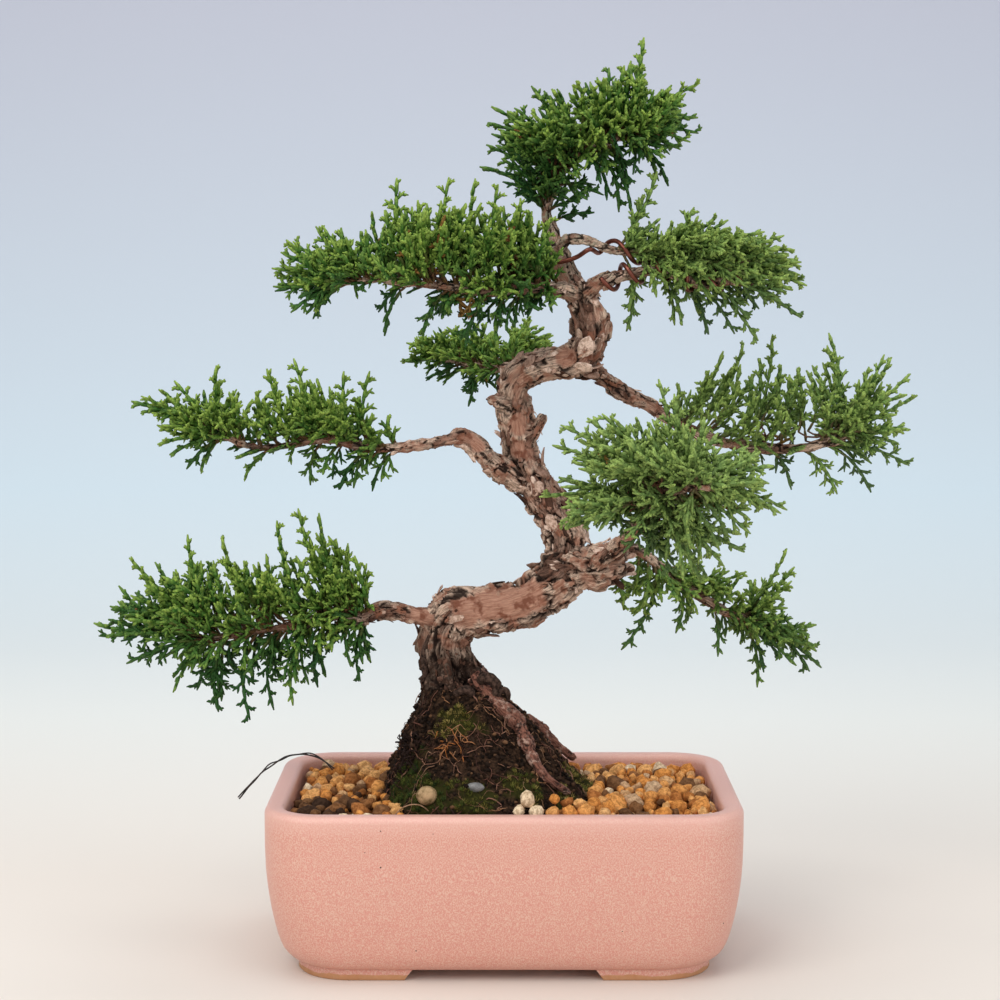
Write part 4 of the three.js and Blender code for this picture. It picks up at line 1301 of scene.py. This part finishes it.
# %% Hair roots
HAIR_COLOURS = [
    (0.02, 0.012, 0.01), (0.12, 0.05, 0.035), (0.28, 0.13, 0.09), (0.42, 0.25, 0.15), (0.50, 0.17, 0.04),
]
STRAW = [(-36, -40, -4, 0.2), (-31, -39.5, 1.2, 0.2), (-26, -39, 1.6, 0.2), (-20, -38.5, -4, 0.2)]
ORANGE_BUNCH = (-16.5, -27, 74)  # middle of a bunch of fresh orange roots, in mm
BLACK_BUNCH = (-33, -18, 68)  # middle of a bunch of old black ones that stand off the mound


def make_hair_roots():
    rng = seeded(303)
    lines, tints = [], []
    starts, _ = scattered_on(mound, 420, rng)
    for start in starts:
        heading = unit(rng.normal(size=3) + (start[0] * 0.02, -0.4, -0.5))
        length = rng.uniform(7, 26)
        radius = rng.uniform(0.07, 0.15) * rng.choice([1, 1.7], p=[0.75, 0.25])
        lines.append(creeping_line(rng, start, heading, length, radius, 0.35))
        tints.append(0.85 * rng.random() ** 1.4)
    for _ in range(24):
        start = np.array(ORANGE_BUNCH) + rng.normal(0, 2.0, 3)
        heading = unit(rng.normal(size=3) + (0, 0, -0.6))
        length, radius = rng.uniform(4, 9), rng.uniform(0.12, 0.20)
        lines.append(creeping_line(rng, start, heading, length, radius, 0.7))
        tints.append(rng.uniform(0.8, 1.0))
    for _ in range(16):
        start = np.array(BLACK_BUNCH) + rng.normal(0, 3.0, 3)
        heading = unit(rng.normal(size=3) + (-1, 0, 0))
        lines.append(creeping_line(rng, start, heading, rng.uniform(10, 20), 0.24, 1.6))
        tints.append(0.02)
    lines.append(smooth_line(STRAW, STEP))
    tints.append(0.75)
    roots = tinted("hair roots", HAIR_COLOURS, 0.8, 900, 0.0002)
    hand_over(tinted_tubes("hair_roots", lines, tints, 4, roots), "root")


make_hair_roots()
make_dead_roots()

# %% [markdown]
# The two thick roots are smoother than the stems: a thin red-brown skin with pale patches of painted
# highlight scattered over it, and crevices painted dark as painted shade.
# They are made like the stems, with the radius swelling and shrinking along the way.

# %% Thick roots
def make_root_skin():
    material, tree, shader = new_material("root skin", Roughness=0.62, Specular_IOR_Level=0.25)
    grain = own_vector(tree, "grain")
    fibre = noise_value(tree, stretched(tree, grain, (1.6, 1.6, 0.40)), 1.0, 5.0, 0.7)
    streaks = step_up(tree, fibre, 0.34, 0.62)
    colour = blend_colours(tree, streaks, (0.085, 0.028, 0.018), (0.33, 0.135, 0.088))
    # Painted highlight: pale patches scattered at random over the skin.
    painted_highlight = step_up(tree, noise_value(tree, object_places(tree), 330, 4.0, 0.7), 0.51, 0.63)
    colour = blend_colours(tree, math_node(tree, "MULTIPLY", painted_highlight, 0.8), colour, (0.58, 0.38, 0.29))
    # Painted shade: the crevices are darkened nearly to black.
    dark = step_up(tree, own_value(tree, "crevice"), 0.1, 0.9)
    colour = blend_colours(tree, dark, colour, (0.020, 0.010, 0.007))
    tree.links.new(colour, shader.inputs["Base Color"])
    raise_surface(tree, shader, fibre, 0.0010)
    return material


def make_big_roots():
    finish = make_root_skin()
    for name, line in root_lines.items():
        knobbly = line.copy()
        knobbly[:, 3] *= 0.70 + 0.55 * smooth_noise(line[:, :3] / 3.2, 91)
        skin = skin_of(name + "_skin", [knobbly], 0.42)
        dress_bark(skin, [knobbly], 2.4, 1.1, finish)
        hand_over(skin, "root", name)


make_big_roots()

# %% [markdown]
# ## Gravel and pebbles
# The gravel is baked clay and pumice, 3 to 6 mm across. Grains are thrown one by one and kept where they
# don't run into a grain that already lies there: first a lower layer, then the one on show.

# %% Gravel
gravel_tree = surface_tree(bpy.data.objects["gravel"].data)
GRAVEL_COLOURS = [
    (0.045, 0.024, 0.015), (0.22, 0.105, 0.045), (0.50, 0.185, 0.05), (0.80, 0.33, 0.08),
    (0.92, 0.50, 0.19), (0.62, 0.39, 0.22), (0.93, 0.73, 0.49),
]
GRAIN_TINTS = [0.17, 0.33, 0.5, 0.55, 0.67, 0.83]
GRAIN_SHARES = [0.13, 0.17, 0.22, 0.2, 0.2, 0.08]
ROLLED_GRAINS = [  # grains heaped against the mound: place from the rim's plane, radius (all in mm) and tint
    (4.2, -39.0, -0.6, 2.9, 0.98), (9.9, -39.0, -0.8, 2.9, 1.0), (7.2, -37.6, 2.9, 2.5, 0.97),
    (15.0, -39.3, -0.5, 2.6, 0.60), (15.6, -36.4, 3.0, 2.2, 0.48), (20.5, -39.4, -0.9, 2.5, 0.52),
    (19.6, -35.4, 1.6, 2.1, 0.30), (25.6, -39.0, -0.7, 2.8, 0.55), (23.6, -35.2, 1.0, 2.1, 0.66),
    (31.0, -39.4, -0.9, 2.3, 0.70), (33.0, -35.6, 0.0, 2.7, 0.50),
]


def thrown(rng, tries, sink, closeness):
    """Grains that lie side by side on the gravel layer: place and radius in mm."""
    found = np.zeros((0, 4))
    for _ in range(tries):
        x, y = rng.uniform(-inner_x, inner_x), rng.uniform(-inner_y, inner_y)
        radius = rng.uniform(1.7, 4.0) * rng.uniform(0.8, 1.0)
        if abs(x) > inner_x - radius or abs(y) > inner_y - radius:
            continue
        spot, _, _, _ = gravel_tree.ray_cast(Vector((x * MM, y * MM, 0.2)), Vector((0, 0, -1)))
        if spot is None:
            continue
        grain = np.array((x, y, spot.z / MM - sink - radius * 0.35, radius))
        gap = np.linalg.norm(found[:, :2] - grain[:2], axis=1) - (found[:, 3] + radius) * closeness
        if len(found) and gap.min() < 0:
            continue
        found = np.vstack([found, grain])
    return found


def make_gravel():
    rng = seeded(401)
    grains = np.vstack([thrown(rng, 2600, 2.6, 0.80), thrown(rng, 6500, -0.3, 0.82)])
    count = len(grains)
    x, y = grains[:, 0], grains[:, 1]
    tint = rng.choice(GRAIN_TINTS, count, p=GRAIN_SHARES) + rng.normal(0, 0.04, count)
    front_left = (x < -30) & (y < -inner_y + 7)
    tint = np.where(front_left & (rng.random(count) < 0.45), 1.0, tint)
    tint = np.where(~front_left & (rng.random(count) < 0.035), 0.98, tint)
    dark_corner = np.hypot(x + 64, y + 28) + rng.normal(0, 5, count) < 17
    tint = np.where(dark_corner & (tint < 0.95), rng.uniform(0, 0.2, count), tint)
    rolled = np.array(ROLLED_GRAINS)
    grains = np.vstack([grains, rolled[:, :4] + (0, 0, rim_height / MM, 0)])
    tint = np.append(tint, rolled[:, 4])
    count = len(grains)
    sizes = grains[:, 3:4] * rng.uniform(0.85, 1.15, (count, 3))
    gravel = tinted("clay gravel", GRAVEL_COLOURS, 0.9, 900, 0.0004)
    piece = strew("gravel_grains", grains[:, :3], rng.uniform(0, 6.28, (count, 3)), sizes,
                  rng.integers(0, 8, count), lump_shapes("grain", 8, 1, 0.45, 420), gravel,
                  tint=np.clip(tint, 0, 1))
    hand_over(piece, "gravel", "gravel")


make_gravel()

# %% [markdown]
# Two larger pebbles lie on the foot of the mound. Each is a ball pushed a little out of round and stretched
# to the size of its place in the frame.

# %% Pebbles
def make_pebble(name, node, dark, light, seed):
    low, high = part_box(node)
    points, faces = ball(3)
    points = points * (1 + 0.16 * (rough_noise(points * 1.6, seed) - 0.5))[:, None]
    points = points * np.array((high - low) / 2) * 0.90 + np.array((high + low) / 2)
    finish = speckled(name + " stone", dark, light, 420, 0.75, 0.0002, Specular_IOR_Level=0.15)
    hand_over(mesh_object(name, points, faces, finish), node, node)


make_pebble("tan_pebble", "pebble_tan", (0.15, 0.10, 0.04), (0.46, 0.30, 0.16), 431)
make_pebble("grey_pebble", "pebble_grey", (0.12, 0.115, 0.11), (0.27, 0.26, 0.25), 432)

# %% [markdown]
# ## Wires
# Two aluminium training wires, anodised copper-brown, wind along two branches on the right. They are bent by
# hand, so the turns are uneven.

# %% Wires
WIRE_RADIUS = 0.75  # mm
WIRE_LOOP = [  # from behind the trunk round to its front, across to the branch and round that
    (22, 3.8, 160.5), (16, 3.2, 164.5), (13.6, 0, 167.3), (14.2, -4.2, 168.8), (18.5, -5.6, 169.4),
    (23, -7, 170.8), (27, -9.4, 173.2), (30.3, -5, 172.2), (33, -5.6, 175.4), (35.5, -8.2, 175.8),
    (38, -10.6, 173.4), (40.5, -10, 169.9), (43, -6.6, 168.9), (45.5, -4.8, 171), (48, -6.2, 173.2),
]


def coil_round(line, start, end, turns, phase):
    """A wire's middle line round a branch, between two shares of the branch's length."""
    _, side, up = frames_along(line)
    shares = np.linspace(start, end, int(turns * 24))
    places = []
    for index, share in enumerate(shares):
        at = share * (len(line) - 1)
        row = int(min(at, len(line) - 2))
        centre = line[row] + (line[row + 1] - line[row]) * (at - row)
        angle = phase + 2 * math.pi * turns * index / (len(shares) - 1)
        reach = centre[3] + 0.35 + WIRE_RADIUS
        places.append(centre[:3] + (side[row] * math.cos(angle) + up[row] * math.sin(angle)) * reach)
    return np.column_stack([np.array(places), np.full(len(places), WIRE_RADIUS)])


def make_wires():
    material, tree, shader = new_material("copper-brown anodised wire", Metallic=0.85, Roughness=0.38)
    scuffs = noise_value(tree, object_places(tree), 900, 3.0)
    colour = blend_colours(tree, scuffs, (0.11, 0.032, 0.022), (0.27, 0.09, 0.06))
    tree.links.new(colour, shader.inputs["Base Color"])
    raise_surface(tree, shader, scuffs, 0.00004, 0.5)
    courses = {
        "wire_upper_right": smooth_line([(*place, WIRE_RADIUS) for place in WIRE_LOOP], 0.6),
        "wire_right_bough": coil_round(branch_lines["right_bough"], 0.2, 0.93, 5, 1),
    }
    for name, course in courses.items():
        points, faces = tube(course, 14)
        hand_over(mesh_object(name + "_wound", points * MM, faces, material), "wire", name)


make_wires()

# %% [markdown]
# The thin black root that wanders out over the rim on the left is two strands that lie side by side.

# %% Stray root
def make_stray_root():
    low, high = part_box("stray_root")
    start_x, end_x = high.x / MM - 0.5, low.x / MM + 0.5
    points = [
        (start_x, 17, 0.8), (start_x - 4, 20, 3.4), (start_x - 9, 22, 4.6), (start_x - 15, 24, 4),
        (start_x - 22, 24, 0.5), (start_x - 28, 24, -5.5), (end_x, 24, -11),
    ]
    rng = seeded(511)
    lines = []
    for strand in range(2):
        line = smooth_line([(x, y, z, 0.27) for x, y, z in points], STEP)
        places = line[:, :3] / 5 + 31 * strand
        drift = np.stack([smooth_noise(places + 11 * axis, 512) - 0.5 for axis in range(3)], 1)
        line[:, :3] += drift * 1.3
        line[:, 3] *= rng.uniform(0.8, 1.0)
        lines.append(line)
    finish = speckled("wiry root", (0.010, 0.007, 0.006), (0.04, 0.022, 0.016), 700, 0.7, 0.0003)
    points, faces = many_tubes(lines, 7)
    hand_over(mesh_object("wiry_root", points * MM, faces, finish), "stray_root", "stray_root")


make_stray_root()

# %% [markdown]
# ## Foliage
# Shimpaku leaves are tiny scales that press against the shoot, so a shoot looks like a soft cord 1.4 mm
# thick. Cords branch left and right in one plane and make sprays, and sprays make the pads. The pads here
# grow the same way: sprays are set all over the CAD pad's surface, pointing outward and up, thin twigs lead
# to them from the branch inside, and each spray is laid out cord by cord.

# %% One cord
def cord_shapes():
    """Cords 1 mm long and 1 mm thick. Their rings swell and turn by half a step, like scale leaves."""
    stout = ((-0.02, 0.34), (0.30, 0.50), (0.66, 0.46), (1.0, 0.20))  # height and radius of each ring
    slim = ((-0.02, 0.36), (0.55, 0.50), (1.0, 0.18))
    shapes = []
    for index, (levels, around) in enumerate(((stout, 5), (stout, 5), (slim, 4), (slim, 4))):
        rng = seeded(520 + index)
        rings = []
        for level, (height, radius) in enumerate(levels):
            angles = (np.arange(around) + level * 0.5) * 2 * math.pi / around
            bulge = radius * rng.uniform(0.86, 1.14, around)
            ring = (np.cos(angles) * bulge, np.sin(angles) * bulge, np.full(around, height))
            rings.append(np.stack(ring, 1))
        points, faces = lofted(rings)
        shape = mesh_object(f"cord_{index}", points * MM, faces)
        set_attribute(shape.data, "along", points[:, 2])
        shapes.append(put_away(shape))
    return shapes


# %% [markdown]
# The cords are painted deep green where a spray ends low, at the back or under its pad, as painted shade.
# They turn yellow-green towards their growing tips as far as the spray is lit: partly the tips' own colour,
# partly painted light. The pads on the right are painted paler and greyer, as painted light. A few dead
# sprays have gone orange-brown.

# %% Leaf material
SCALES_PER_METRE = 1050.0


def make_leaf_material():
    material, tree, shader = new_material("scale leaves", Roughness=0.55, Specular_IOR_Level=0.18)
    places = object_places(tree)
    # Yellow-green towards the growing tips, as far as the spray is lit: partly the tips' own colour, partly
    # painted light.
    near_end = step_up(tree, own_value(tree, "along"), -0.2, 1.0)
    fresh = math_node(tree, "MULTIPLY", own_value(tree, "tip"), near_end)
    patch = noise_value(tree, places, 60, 2.0)
    # Painted shade: deep green where a spray ends low, at the back or under its pad; lighter green where it
    # is lit.
    shaded_green = blend_colours(tree, patch, (0.020, 0.080, 0.020), (0.042, 0.125, 0.028))
    mid = blend_colours(tree, own_value(tree, "tint"), (0.058, 0.185, 0.028), (0.140, 0.262, 0.034))
    colour = blend_colours(tree, step_up(tree, own_value(tree, "outer"), 0.05, 0.80), shaded_green, mid)
    colour = blend_colours(tree, step_up(tree, fresh, 0.10, 1.0), colour, (0.36, 0.50, 0.085))
    colour = blend_colours(tree, own_value(tree, "woody"), colour, (0.15, 0.075, 0.030))
    # Painted light: pads in better light are painted paler and greyer.
    colour = blend_colours(tree, own_value(tree, "painted_pad_light"), colour, (0.42, 0.52, 0.26))
    dead = blend_colours(tree, own_value(tree, "tint"), (0.22, 0.09, 0.022), (0.44, 0.25, 0.06))
    colour = blend_colours(tree, own_value(tree, "dead"), colour, dead)
    cells = add_node(tree, "ShaderNodeTexVoronoi", {"Vector": places, "Scale": SCALES_PER_METRE})
    scales = cells.outputs["Distance"]
    # Painted shade: darker between the scale leaves.
    shade = math_node(tree, "MULTIPLY", step_up(tree, scales, 0.15, 0.75), 0.42)
    colour = blend_colours(tree, shade, colour, (0.010, 0.035, 0.006))
    tree.links.new(colour, shader.inputs["Base Color"])
    raise_surface(tree, shader, math_node(tree, "SUBTRACT", 1.0, scales), 0.0004, 0.8)
    return material


# %% [markdown]
# A spray is laid out like this: its axis leaves the branch at a slant and arches to its tip. Side shoots
# leave it by turns, shorter towards the tip, and carry small shoots of their own. On top of a pad they stand
# round the axis like a plume. Below, the sprays are open flat fans on longer, thinner shoots. A leader is
# one of the long shoots that stick out of a pad, flat and open like a feather.

# %% One spray
# Gap between side shoots, reach of the first one and thickness in mm, turn from one to the next in radians,
# and the bare share at the foot.
PLUME = {"gap": 2.4, "reach": 5.8, "turn": 2.4, "thickness": 1.45, "bare": 0.20}
FAN = {"gap": 2.8, "reach": 7.0, "turn": math.pi, "thickness": 1.25, "bare": 0.22}
LEADER = {"gap": 2.5, "reach": 6.6, "turn": math.pi, "thickness": 1.35, "bare": 0.36}
STOUT_CORD, SLIM_CORD = 0, 2  # the first of two shapes of each


def square_to(direction, vector):
    return unit(vector - direction * np.dot(direction, vector))


def on_arch(foot, bend, tip, share):
    return foot * (1 - share) ** 2 + bend * 2 * share * (1 - share) + tip * share ** 2


def lay_spray(rng, foot, bend, tip, habit, outer, dead, cords):
    """Adds a spray's cords: place, heading, length, thickness, tip, tint, outer, dead, woody and kind."""
    length = (np.linalg.norm(bend - foot) + np.linalg.norm(tip - bend) + np.linalg.norm(tip - foot)) / 2
    tint = float(np.clip(rng.normal(0.5, 0.25), 0, 1))
    thick = habit["thickness"] * rng.uniform(0.9, 1.1)
    shares = np.linspace(0, 1, max(int(round(length / 4.6)), 2) + 1)[:, None]
    path = on_arch(foot, bend, tip, shares)
    for start, end, share in zip(path, path[1:], shares[:, 0]):
        reach = np.linalg.norm(end - start)
        heading = (end - start) / reach
        girth = thick * (0.75 if share < 0.2 else 1.0)
        woody = max(0.0, 1 - share / 0.4)
        marks = (share, tint, outer, dead, woody, STOUT_CORD)
        cords.append((*start, *heading, reach * 1.15, girth, *marks))
    side = square_to(unit(tip - foot), rng.normal(size=3) * ((1, 1, 1) if habit is PLUME else (1, 0.25, 1)))
    angle = rng.uniform(0, 6.28)
    for walked in np.arange(length * habit["bare"], length - 0.8, habit["gap"]):
        share = walked / length
        start = on_arch(foot, bend, tip, share)
        heading = unit((bend - foot) * (1 - share) + (tip - bend) * share)
        angle += habit["turn"] + rng.normal(0, 0.18)
        across = square_to(heading, side)
        across = across * math.cos(angle) + np.cross(heading, across) * math.sin(angle)
        lean = rng.uniform(0.55, 0.92)
        out = heading * math.cos(lean) + across * math.sin(lean)
        reach = habit["reach"] * (1.08 - 0.68 * share) * rng.uniform(0.7, 1.2)
        marks = (0.45 + 0.5 * share, tint, outer, dead, 0, STOUT_CORD)
        cords.append((*start, *out, reach, thick * 0.84, *marks))
        if reach > 2.6:
            inward = square_to(out, heading)
            for part, way in ((0.38, 1), (0.62, -1)):
                twist = rng.uniform(0.55, 0.85)
                twig = unit(out * math.cos(twist) + inward * way * math.sin(twist) + rng.normal(0, 0.15, 3))
                twig_reach = min(reach * rng.uniform(0.40, 0.58), 3.4)
                marks = (0.5 + 0.5 * share, tint, outer, dead, 0, SLIM_CORD)
                cords.append((*(start + out * reach * part), *twig, twig_reach, thick * 0.76, *marks))


def spread_places(rng, places, outward, count):
    """Picks places so that they keep apart from each other."""
    chosen = [0]
    nearest = np.linalg.norm(places - places[0], axis=1)
    while len(chosen) < min(count, len(places)):
        new = int((nearest * rng.uniform(0.75, 1.0, len(places))).argmax())
        chosen.append(new)
        nearest = np.minimum(nearest, np.linalg.norm(places - places[new], axis=1))
    return places[chosen], outward[chosen]


# %% [markdown]
# Sprays that end near the branch grow straight from it. The feet of those further out are gathered into
# bunches, and a twig runs from the branch to each bunch, then a thin one to each spray.

# %% Twigs inside a pad
def bunches_of(rng, places, count):
    """The middles of so many bunches of places, and the number of the bunch that each place is in."""
    middles = places[rng.choice(len(places), count, replace=False)]
    for _ in range(8):
        owner = np.linalg.norm(places[:, None] - middles[None], axis=2).argmin(1)
        for bunch in set(owner):
            middles[bunch] = places[owner == bunch].mean(0)
    return middles, owner


def bent_twig(rng, start, end, thick, thin, sag):
    reach = np.linalg.norm(end - start)
    shares = np.linspace(0, 1, max(int(reach / 2.6), 3) + 1)
    bow = np.sin(shares * math.pi)[:, None] * (rng.normal(0, 0.10, 3) + (0, 0, -sag)) * reach
    path = start + (end - start) * shares[:, None] + bow
    return np.column_stack([path, thick + (thin - thick) * shares])


def pad_twigs(rng, feet, branch):
    middles, owner = bunches_of(rng, feet, max(len(feet) // 10, 2))
    twigs = []
    for index, middle in enumerate(middles):
        gap = np.linalg.norm(branch[:, :3] - middle, axis=1) + np.arange(len(branch)) * 0.25
        fork = branch[gap.argmin(), :3]
        hub = fork + (middle - fork) * 0.75
        twigs.append(bent_twig(rng, fork, hub, 0.80, 0.45, 0.05))
        for foot in feet[owner == index]:
            twigs.append(bent_twig(rng, hub, foot, 0.38, 0.30, 0.06))
    return twigs


# %% Pads
PADS = {  # branch, sprays on top, sprays below, share of dead sprays, extra painted light on the pad's sprays, painted shade where it is below 0
    "lower_left": ("lower_left", 128, 48, 0.01, -0.08), "mid_left": ("mid_left", 88, 32, 0.01, 0.0),
    "upper_left": ("upper_left", 150, 52, 0.02, -0.08), "back_left": ("back_left", 72, 30, 0.01, 0.0),
    "apex": ("trunk", 128, 48, 0.02, -0.14), "upper_right": ("upper_right", 96, 42, 0.01, 0.16),
    "mid_right": ("mid_right", 60, 22, 0.01, 0.16), "front_right": ("front_right", 128, 50, 0.04, 0.22),
    "lower_right": ("lower_right", 56, 24, 0.02, 0.08),
}
LEADERS = {  # where the longest shoots of each pad end, in mm from the middle of the rim's plane
    "lower_left": [
        (-65, -16, 91), (-59, -10, 89), (-72, -14, 87), (-50, -8, 79), (-44, -12, 73), (-101, -10, 82),
        (-89, -18, 82), (-119, -12, 75), (-126, -15, 51), (-121, -8, 41), (-105, -16, 38), (-92, -10, 26),
        (-81, -18, 25), (-74, -12, 27), (-67, -20, 30), (-60, -10, 34), (-46, -16, 37), (-43, -10, 42),
    ],
    "mid_left": [
        (-118, -8, 125), (-105, -4, 131), (-91, -12, 136), (-75, -10, 135), (-67, -4, 138), (-59, -12, 132),
        (-51, -8, 134), (-43, -6, 134), (-109, -14, 112), (-101, -8, 104), (-82, -12, 102), (-62, -6, 99),
        (-52, -12, 98), (-42, -8, 97),
    ],
    "upper_left": [
        (-71, -26, 167), (-65, -22, 175), (-55, -30, 179), (-33, -26, 194), (-41, -20, 184), (-17, -30, 194),
        (-9, -24, 194), (-2, -28, 192), (5, -22, 188), (-59, -24, 152), (-65, -30, 154), (-37, -24, 147),
        (-25, -30, 147), (-12, -24, 143), (-2, -30, 143), (14, -24, 182), (16, -28, 156),
    ],
    "back_left": [(-35, 50, 136), (-33, 54, 142), (-24, 52, 146), (-12, 50, 121), (15, 52, 145)],
    "apex": [
        (44, -4, 239), (61, -6, 225), (61, 0, 215), (58, -8, 207), (52, -2, 194), (9, -4, 224), (2, -8, 215),
        (-5, -2, 206), (-7, -6, 199), (3, -4, 194), (40, -8, 186), (28, -2, 185),
    ],
    "upper_right": [
        (48, -8, 197), (60, -4, 186), (70, -10, 182), (83, -6, 176), (91, -10, 173), (94, -4, 168),
        (95, -10, 162), (94, -6, 152), (80, -10, 145), (65, -4, 147), (54, -8, 150), (39, -8, 148),
    ],
    "mid_right": [
        (87, 8, 145), (105, 4, 146), (78, 12, 142), (71, 8, 140), (123, 6, 139), (126, 10, 138),
        (131, 4, 133), (134, 8, 126), (131, 4, 104), (120, 10, 95), (108, 4, 95), (94, 10, 96), (81, 6, 100),
    ],
    "front_right": [
        (45, -68, 134), (49, -74, 130), (29, -66, 124), (17, -68, 121), (11, -64, 100), (18, -70, 94),
        (80, -70, 96), (75, -76, 103), (52, -72, 77),
    ],
    "lower_right": [
        (93, 12, 75), (94, 8, 65), (105, 14, 36), (84, 12, 30), (39, 8, 43), (57, 12, 48),
    ],
}
leaf_material = make_leaf_material()
twig_material = speckled("leafy twig bark", (0.09, 0.035, 0.020), (0.27, 0.12, 0.06), 500, 0.75, 0.0003)
cords_on_hand = cord_shapes()
LONGEST_SPRAY = 25  # mm
TOP_OF_TRUNK = 75  # steps of the trunk's line that the topmost pad grows on
PLACES_ON_PAD = 2600  # places on a pad's surface to pick the tips from

# %% [markdown]
# A pad is grown in three steps: sprays to places all over its surface, the long shoots, and then the twigs.
# Sprays high up and at the front of a pad get the most light, so those are painted paler and yellower:
# painted light.

# %% Sprays of a pad
def lit_share(rng, tip, pad):
    """How much painted light a spray gets, from 0 to 1: more the further up and forward in its pad it ends.
    """
    share = (tip - pad["low"]) / (pad["high"] - pad["low"])
    return float(np.clip(0.75 * share[2] + 0.50 * (1 - share[1]) + pad["fresh"] + rng.normal(0, 0.16), 0, 1))


def fork_near(branch, place, back):
    """Where a spray leaves the branch: some steps nearer to the trunk than the place closest to its tip."""
    distances = np.linalg.norm(branch[:, :3] - place, axis=1)
    return branch[max(int(distances.argmin()) - back, 0), :3]


def add_surface_sprays(rng, pad, tips, ways, habit):
    """Sprays that end all over the pad's surface. Gives back the feet that stand off the branch."""
    far_feet = []
    crown = pad["low"][2] + 0.68 * (pad["high"][2] - pad["low"][2])  # higher sprays are held down
    lift = np.array((0, 0, 0.30 if habit is PLUME else 0.15))
    sway = np.stack([smooth_noise(tips / 12, 610 + axis) - 0.5 for axis in range(3)], 1)
    for tip, way, drift in zip(tips, ways, sway):
        fork = fork_near(pad["branch"], tip, int(rng.uniform(4, 12)))
        tip = tip + way * (min(rng.gamma(2.0, 1.4), 6) - 4.5) + drift * 6 + rng.normal(0, 1.6, 3)
        tip[2] -= 0.36 * max(tip[2] - crown, 0)
        dead = float(rng.random() < pad["dead_share"])
        tip = tip - way * 5 * dead
        gap = np.linalg.norm(tip - fork)
        reach = min(gap, rng.uniform(0.75, 1.0) * LONGEST_SPRAY)
        start_way = unit((tip - fork) / gap + pad["along"] * 0.45 + lift * 0.3 + drift * 1.4)
        foot = fork
        if gap >= LONGEST_SPRAY * 0.95:
            foot = tip - unit(tip - fork + lift * -6 + way * 5) * reach
            far_feet.append(foot)
        bend = foot + start_way * np.linalg.norm(tip - foot) * 0.5
        # Sprays under the pad get less painted light: painted shade.
        outer = lit_share(rng, tip, pad) * (1 if habit is PLUME else 0.8)
        lay_spray(rng, foot, bend, tip, habit, outer, dead, pad["cords"])
    return far_feet


def add_leaders(rng, pad, tips):
    """The pad's longest shoots, with a shorter one beside each."""
    for tip in tips:
        foot = fork_near(pad["branch"], tip, 9)
        for share in (1.0, 0.74):
            end = foot + (tip - foot) * share + rng.normal(0, 2.6, 3) * (share < 1)
            way = unit(unit(end - foot) + pad["along"] * 0.45 + (0, 0, 0.25))
            bend = foot + way * np.linalg.norm(end - foot) * 0.5
            lay_spray(rng, foot, bend, end, LEADER, lit_share(rng, end, pad), 0.0, pad["cords"])


# %% Growing the pads
def strew_cords(rng, pad, name):
    cords = np.array(pad["cords"])
    places, headings = cords[:, :3], cords[:, 3:6]
    lengths, girths, tip_shares, tints, outers, deads, woodys, kinds = cords[:, 6:].T
    kinds = kinds + rng.integers(0, 2, len(cords))
    turns = turns_towards(headings, rng.uniform(0, 6.28, len(cords)))
    sizes = np.column_stack([girths, girths, lengths])
    # Painted light: tips are bright only as far as the spray is lit, and a pad's fresh share paints paler
    # tints and a pale cast on it.
    marks = {
        "tip": tip_shares * np.clip(outers * 1.3, 0, 1), "tint": np.clip(tints + 1.8 * pad["fresh"], 0, 1),
        "outer": outers, "dead": deads, "woody": woodys,
        "painted_pad_light": np.full(len(cords), max(pad["fresh"], 0.0)),
    }
    return strew(name, places, turns, sizes, kinds, cords_on_hand, leaf_material, **marks)


def grow_pad(index, name, branch_name, top_count, under_count, dead_share, fresh):
    """Grows one pad on its branch, as strewn cords and a mesh of twigs."""
    rng = seeded(600 + index)
    node = "foliage_" + name
    low, high = (np.array(corner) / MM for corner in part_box(node))
    branch = trunk_lines[0][-TOP_OF_TRUNK:] if branch_name == "trunk" else branch_lines[branch_name]
    branch = branch[(branch[:, :3] > low - 5).all(1) & (branch[:, :3] < high + 5).all(1)]
    # The pad's fresh share is painted light: it makes the sprays paler, yellower and brighter at the tips,
    # and darker where it is below 0.
    pad = {
        "branch": branch, "along": unit(branch[-1, :3] - branch[0, :3]), "low": low, "high": high,
        "dead_share": dead_share, "fresh": fresh, "cords": [],
    }
    places, outward = scattered_on(bpy.data.objects[node], PLACES_ON_PAD, rng)
    clear = np.linalg.norm(places[:, None] - branch[None, :, :3], axis=2).min(1) > 6
    under = outward[:, 2] < -0.20
    top = spread_places(rng, places[clear & ~under], outward[clear & ~under], top_count)
    below = spread_places(rng, places[clear & under], outward[clear & under], under_count)
    far_feet = add_surface_sprays(rng, pad, *top, PLUME) + add_surface_sprays(rng, pad, *below, FAN)
    add_leaders(rng, pad, np.array(LEADERS[name]) + (0, 0, rim_height / MM))
    hand_over(strew_cords(rng, pad, "leaves_" + name), "foliage", node)
    points, faces = many_tubes(pad_twigs(rng, np.array(far_feet), branch), 5)
    hand_over(mesh_object("twigs_" + name, points * MM, faces, twig_material), "bark")


for number, (pad_name, plan) in enumerate(PADS.items()):
    grow_pad(number, pad_name, *plan)
